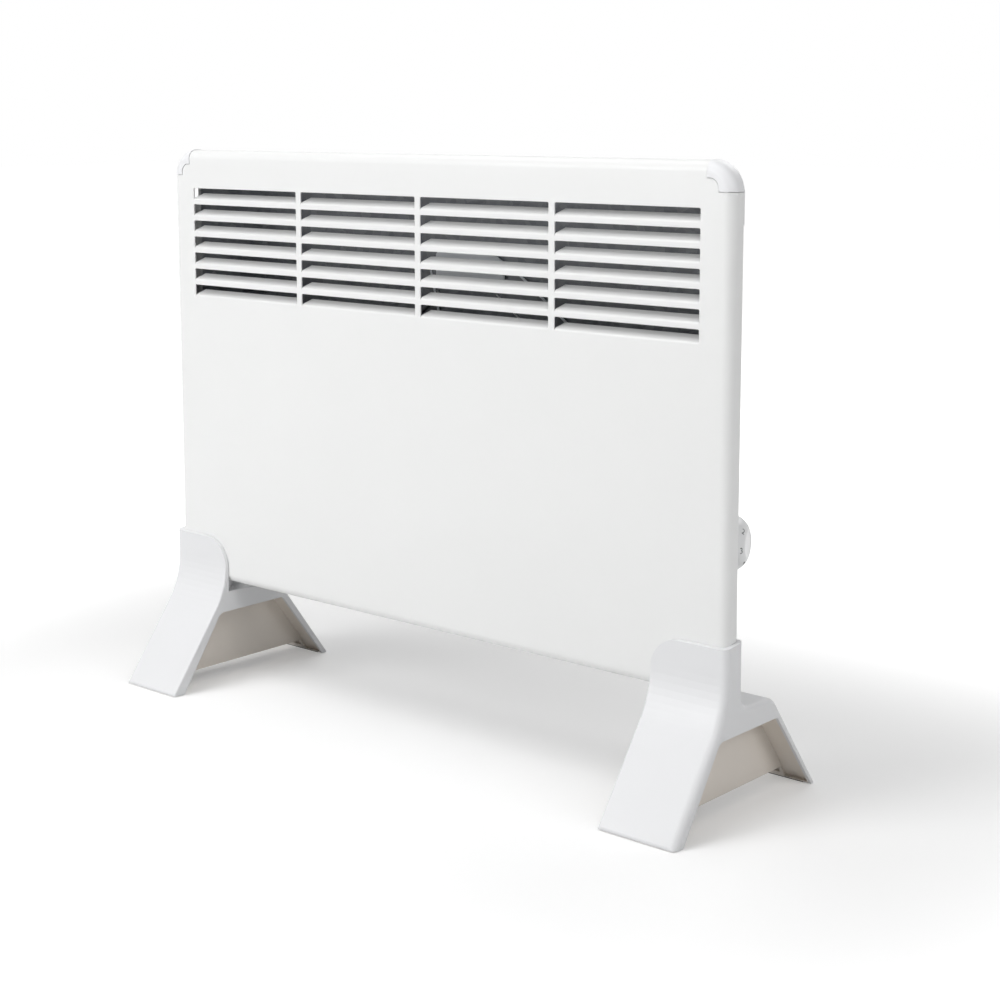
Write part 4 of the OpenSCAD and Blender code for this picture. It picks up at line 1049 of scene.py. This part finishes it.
@dataclass
class Thermostat(Assembly):
    """The thermostat with its bulb, and its knob with the numerals printed round the dome."""

    finishes: dict[str, Finish] = field(default_factory=lambda: {
        "thermostat_body": BLACK_MOULDING,
        "thermostat_screws": SCREW_ZINC,
        "thermostat_spindle": TURNED_BRASS,
        "thermostat_knob": KNOB_MOULDING,
        "capillary_tube": COPPER_TUBE,
        "sensor_bulb": COPPER_TUBE,
        "bulb_clips": ZINC_SHEET,
    })
    dial: Dial = field(default_factory=Dial)
    # Angle of each numeral round the knob at rest, in degrees above the direction that faces forward
    numerals: dict[str, float] = field(default_factory=lambda: {
        "0": 171.0, "1": 111.0, "2": 51.0, "3": -9.0, "4": -69.0, "5": -129.0})
    digit_height: float = 4.6 * MM
    # Height of a numeral as a share of the font's size
    font_share: float = 0.7
    # Height of the numerals' middle above the knob's foot
    digit_row: float = 16.0 * MM
    # Half the thickness of the printed ink
    ink: float = 0.04 * MM
    # Size of the cells into which a numeral is cut before it is bent
    cell: float = 0.5 * MM
    # Distance at which corners are joined, and the slack of a cut
    weld: float = 0.005 * MM
    slack: float = 0.0001 * MM

    def __post_init__(self) -> None:
        """Takes the knob's axis and foot from its joint and its solid."""
        joint = next(joint for joint in frame["joints"] if joint["name"] == "thermostat_turn")
        outward = Vector(joint["axis"]).normalized()
        up = Vector((0.0, 0.0, 1.0))
        origin = Vector(joint["pos_m"])
        solid = frame["nodes"]["thermostat_knob"].data
        foot = min((vert.co - origin).dot(outward) for vert in solid.vertices)
        turned = Matrix((outward, outward.cross(up), up)).transposed().to_4x4()
        self.place: Matrix = Matrix.Translation(origin + outward * foot) @ turned

    def knob(self) -> bpy.types.Object:
        """Makes the scalloped dome that stands for the knob's solid.

        Returns:
            The dome's object.
        """
        dome = self.dial.mesh("thermostat_dial", self.place)
        knob = shown_piece("thermostat_dial", dome, KNOB_MOULDING.shared())
        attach(knob, "knob")
        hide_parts("thermostat_knob")
        return knob

    def flat_digit(self, text: str) -> bmesh.types.BMesh:
        """Makes one numeral, flat and round the origin.

        Args:
            text: the numeral.

        Returns:
            The numeral's shape, with its joined corners.
        """
        curve = bpy.data.curves.new("numeral_curve_" + text, "FONT")
        curve.body = text
        curve.align_x = "CENTER"
        curve.align_y = "CENTER"
        curve.size = self.digit_height / self.font_share
        curve.extrude = self.ink
        flat = bpy.data.objects.new("numeral_flat_" + text, curve)
        mesh = bpy.data.meshes.new_from_object(flat)
        shape = bmesh.new()
        shape.from_mesh(mesh)
        bpy.data.objects.remove(flat)
        bpy.data.curves.remove(curve)
        bpy.data.meshes.remove(mesh)
        bmesh.ops.remove_doubles(shape, verts=shape.verts, dist=self.weld)
        return shape

    def digit(self, text: str, angle: float) -> bpy.types.Mesh:
        """Cuts one numeral into small cells and bends it onto the knob's dome.

        Args:
            text: the numeral.
            angle: its place round the knob, in degrees above the forward direction.

        Returns:
            The numeral's mesh.
        """
        shape = self.flat_digit(text)
        reach = int(self.digit_height / self.cell)
        for direction in (Vector((1, 0, 0)), Vector((0, 1, 0))):
            for step in range(-reach, reach + 1):
                bmesh.ops.bisect_plane(
                    shape, geom=[*shape.verts, *shape.edges, *shape.faces], dist=self.slack,
                    plane_co=direction * step * self.cell, plane_no=direction)
        row = self.dial.distance_at(self.digit_row)
        radius = self.dial.line[self.dial.length.index(row)].y
        for vert in shape.verts:
            turn = math.radians(angle) + vert.co.y / radius
            vert.co = self.place @ self.dial.along(row + vert.co.x, turn, vert.co.z + self.ink / 2)
        return finished_mesh("numeral_" + text, shape)

    def build(self) -> None:
        """Dresses the nodes, makes the knob and prints its numerals."""
        super().build()
        self.knob()
        for text, angle in self.numerals.items():
            numeral = shown_piece("numeral_" + text, self.digit(text, angle), NUMERAL_INK.shared())
            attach(numeral, "knob")


# Studio


@dataclass
class Lamp:
    """A large soft lamp that points at the heater."""

    name: str
    # Degrees from the front round to the heater's left side, as the camera sees it
    bearing: float
    # Degrees above the floor
    height: float
    # Brightness that the lamp alone gives to a white face turned to it, where 1 is white in the picture
    level: float
    width: float = 1.4
    distance: float = 2.6
    aim: Triple = (0.0, 0.0, 0.25)
    colour: Colour = (1.0, 1.0, 1.0)

    def build(self) -> None:
        """Hangs the lamp."""
        light = bpy.data.lights.new(self.name, "AREA")
        light.shape = "SQUARE"
        light.size = self.width
        light.energy = self.level * math.pi**2 * self.distance**2
        light.color = self.colour
        lamp = bpy.data.objects.new(self.name, light)
        turn, rise = math.radians(self.bearing), math.radians(self.height)
        towards = Vector((-math.sin(turn) * math.cos(rise), -math.cos(turn) * math.cos(rise), math.sin(rise)))
        lamp.location = Vector(self.aim) + towards * self.distance
        lamp.rotation_euler = (-towards).to_track_quat("-Z", "Y").to_euler()
        lamp.visible_camera = False
        bpy.context.scene.collection.objects.link(lamp)
        LOG.info("%-24s %.1f W", self.name, light.energy)


@dataclass
class Studio:
    """The pale floor, the white surroundings, the lamps and the camera."""

    floor_size: float = 30.0
    floor_colour: Colour = (0.82, 0.82, 0.82)
    # Brightness of the floor's glow beside the heater, and what it gains from the near to the far edge
    floor_glow: float = 0.249
    far_glow: float = 0.77
    # Distances from the heater's footprint, in metres
    near_edge: float = 0.1
    far_edge: float = 0.7
    # Half the footprint's width and depth, in metres
    footprint: Point = (0.32, 0.1)
    lamps: tuple[Lamp, ...] = (
        Lamp("key_lamp", 25.0, 62.0, 0.194),
        Lamp("front_lamp", 0.0, 62.0, 0.171),
        Lamp("low_left_lamp", 25.0, 20.0, 0.48),
        Lamp("left_lamp", 100.0, 62.0, 0.183),
        Lamp("right_lamp", -60.0, 40.0, 0.172),
        Lamp("low_right_lamp", -90.0, 20.0, 0.2),
        Lamp("back_lamp", 180.0, 40.0, 0.184),
    )
    # The camera, fitted to the photograph: metres, radians, millimetres and a share of the picture's width
    eye: Triple = (1.0591918, -1.1534961, 0.5277212)
    pitch: float = 0.13321
    yaw: float = 0.71114
    lens: float = 67.3875
    sensor: float = 36.0
    rise: float = -0.135
    clip: Point = (0.05, 100.0)

    def shown(self, tree: Tree) -> Socket:
        """Tells rays that show the surroundings from those that light the heater.

        Args:
            tree: the tree that asks.

        Returns:
            A value of 1 for rays from the camera, off gloss or through glass, or else 0.
        """
        path = tree.add("LightPath")
        seen = tree.math("MAXIMUM", path.outputs["Is Camera Ray"], path.outputs["Is Glossy Ray"])
        return tree.math("MAXIMUM", seen, path.outputs["Is Transmission Ray"])

    def away(self, tree: Tree) -> Socket:
        """Tells how far a point of the floor is from the heater.

        Args:
            tree: the floor's tree.

        Returns:
            A value that rises smoothly from 0 beside the heater to 1 at the far edge.
        """
        place = tree.add("SeparateXYZ", Vector=tree.add("NewGeometry").outputs["Position"])
        sides = []
        for axis, half in zip("XY", self.footprint):
            reach = tree.math("SUBTRACT", tree.math("ABSOLUTE", place.outputs[axis]), half)
            sides.append(tree.math("MAXIMUM", reach, 0.0))
        flat = tree.add("CombineXYZ", X=sides[0], Y=sides[1])
        distance = tree.vector("LENGTH", flat.outputs["Vector"]).outputs["Value"]
        node = tree.add("MapRange", interpolation_type="SMOOTHSTEP", Value=distance)
        for key, number in (("From Min", self.near_edge), ("From Max", self.far_edge)):
            node.inputs[key].default_value = number
        return node.outputs[0]

    def floor(self) -> None:
        """Lays the floor, which shows white away from the heater's shadow."""
        shape = bmesh.new()
        bmesh.ops.create_grid(shape, x_segments=1, y_segments=1, size=self.floor_size / 2)
        mesh = bpy.data.meshes.new("studio_floor")
        shape.to_mesh(mesh)
        shape.free()
        ground = bpy.data.objects.new("studio_floor", mesh)
        bpy.context.scene.collection.objects.link(ground)
        paint = bpy.data.materials.new("studio_floor_paint")
        paint.use_nodes = True
        paint.node_tree.nodes.clear()
        tree = Tree(paint.node_tree)
        matt = tree.add("BsdfDiffuse", Color=self.floor_colour)
        glow = tree.add("Emission", Color=(1.0, 1.0, 1.0))
        level = tree.math("ADD", tree.math("MULTIPLY", self.away(tree), self.far_glow), self.floor_glow)
        tree.feed(glow.inputs["Strength"], tree.math("MULTIPLY", self.shown(tree), level))
        both = tree.add("AddShader")
        tree.feed(both.inputs[0], matt.outputs[0])
        tree.feed(both.inputs[1], glow.outputs[0])
        tree.feed(tree.add("OutputMaterial").inputs["Surface"], both.outputs[0])
        mesh.materials.append(paint)

    def surroundings(self) -> None:
        """Makes the world, which is white where it is seen or reflected and else gives no light."""
        world = bpy.data.worlds.new("white_studio")
        bpy.context.scene.world = world
        world.use_nodes = True
        world.node_tree.nodes.clear()
        tree = Tree(world.node_tree)
        light = tree.add("Background", Color=(1.0, 1.0, 1.0), Strength=self.shown(tree))
        tree.feed(tree.add("OutputWorld").inputs["Surface"], light.outputs[0])

    def camera(self) -> None:
        """Sets the camera where the photograph was taken from."""
        lens = bpy.data.cameras.new("photo_camera")
        lens.sensor_width = self.sensor
        lens.lens = self.lens
        lens.shift_y = self.rise
        lens.clip_start, lens.clip_end = self.clip
        camera = bpy.data.objects.new("photo_camera", lens)
        camera.location = self.eye
        camera.rotation_euler = (math.pi / 2 - self.pitch, 0.0, self.yaw)
        bpy.context.scene.collection.objects.link(camera)
        bpy.context.scene.camera = camera

    def build(self) -> None:
        """Sets up the whole studio."""
        bpy.context.scene.view_settings.view_transform = "Standard"
        self.floor()
        self.surroundings()
        for lamp in self.lamps:
            lamp.build()
        self.camera()


def main() -> None:
    """Builds the studio and every sub-assembly."""
    logging.basicConfig(level=logging.INFO, format="%(name)s: %(message)s")
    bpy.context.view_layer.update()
    Effects.build()
    Studio().build()
    for part in (Housing(), Feet(), HeatingElement(), Wiring(), Thermostat()):
        LOG.info("%s", type(part).__name__)
        part.build()


if __name__ == "__main__":
    main()
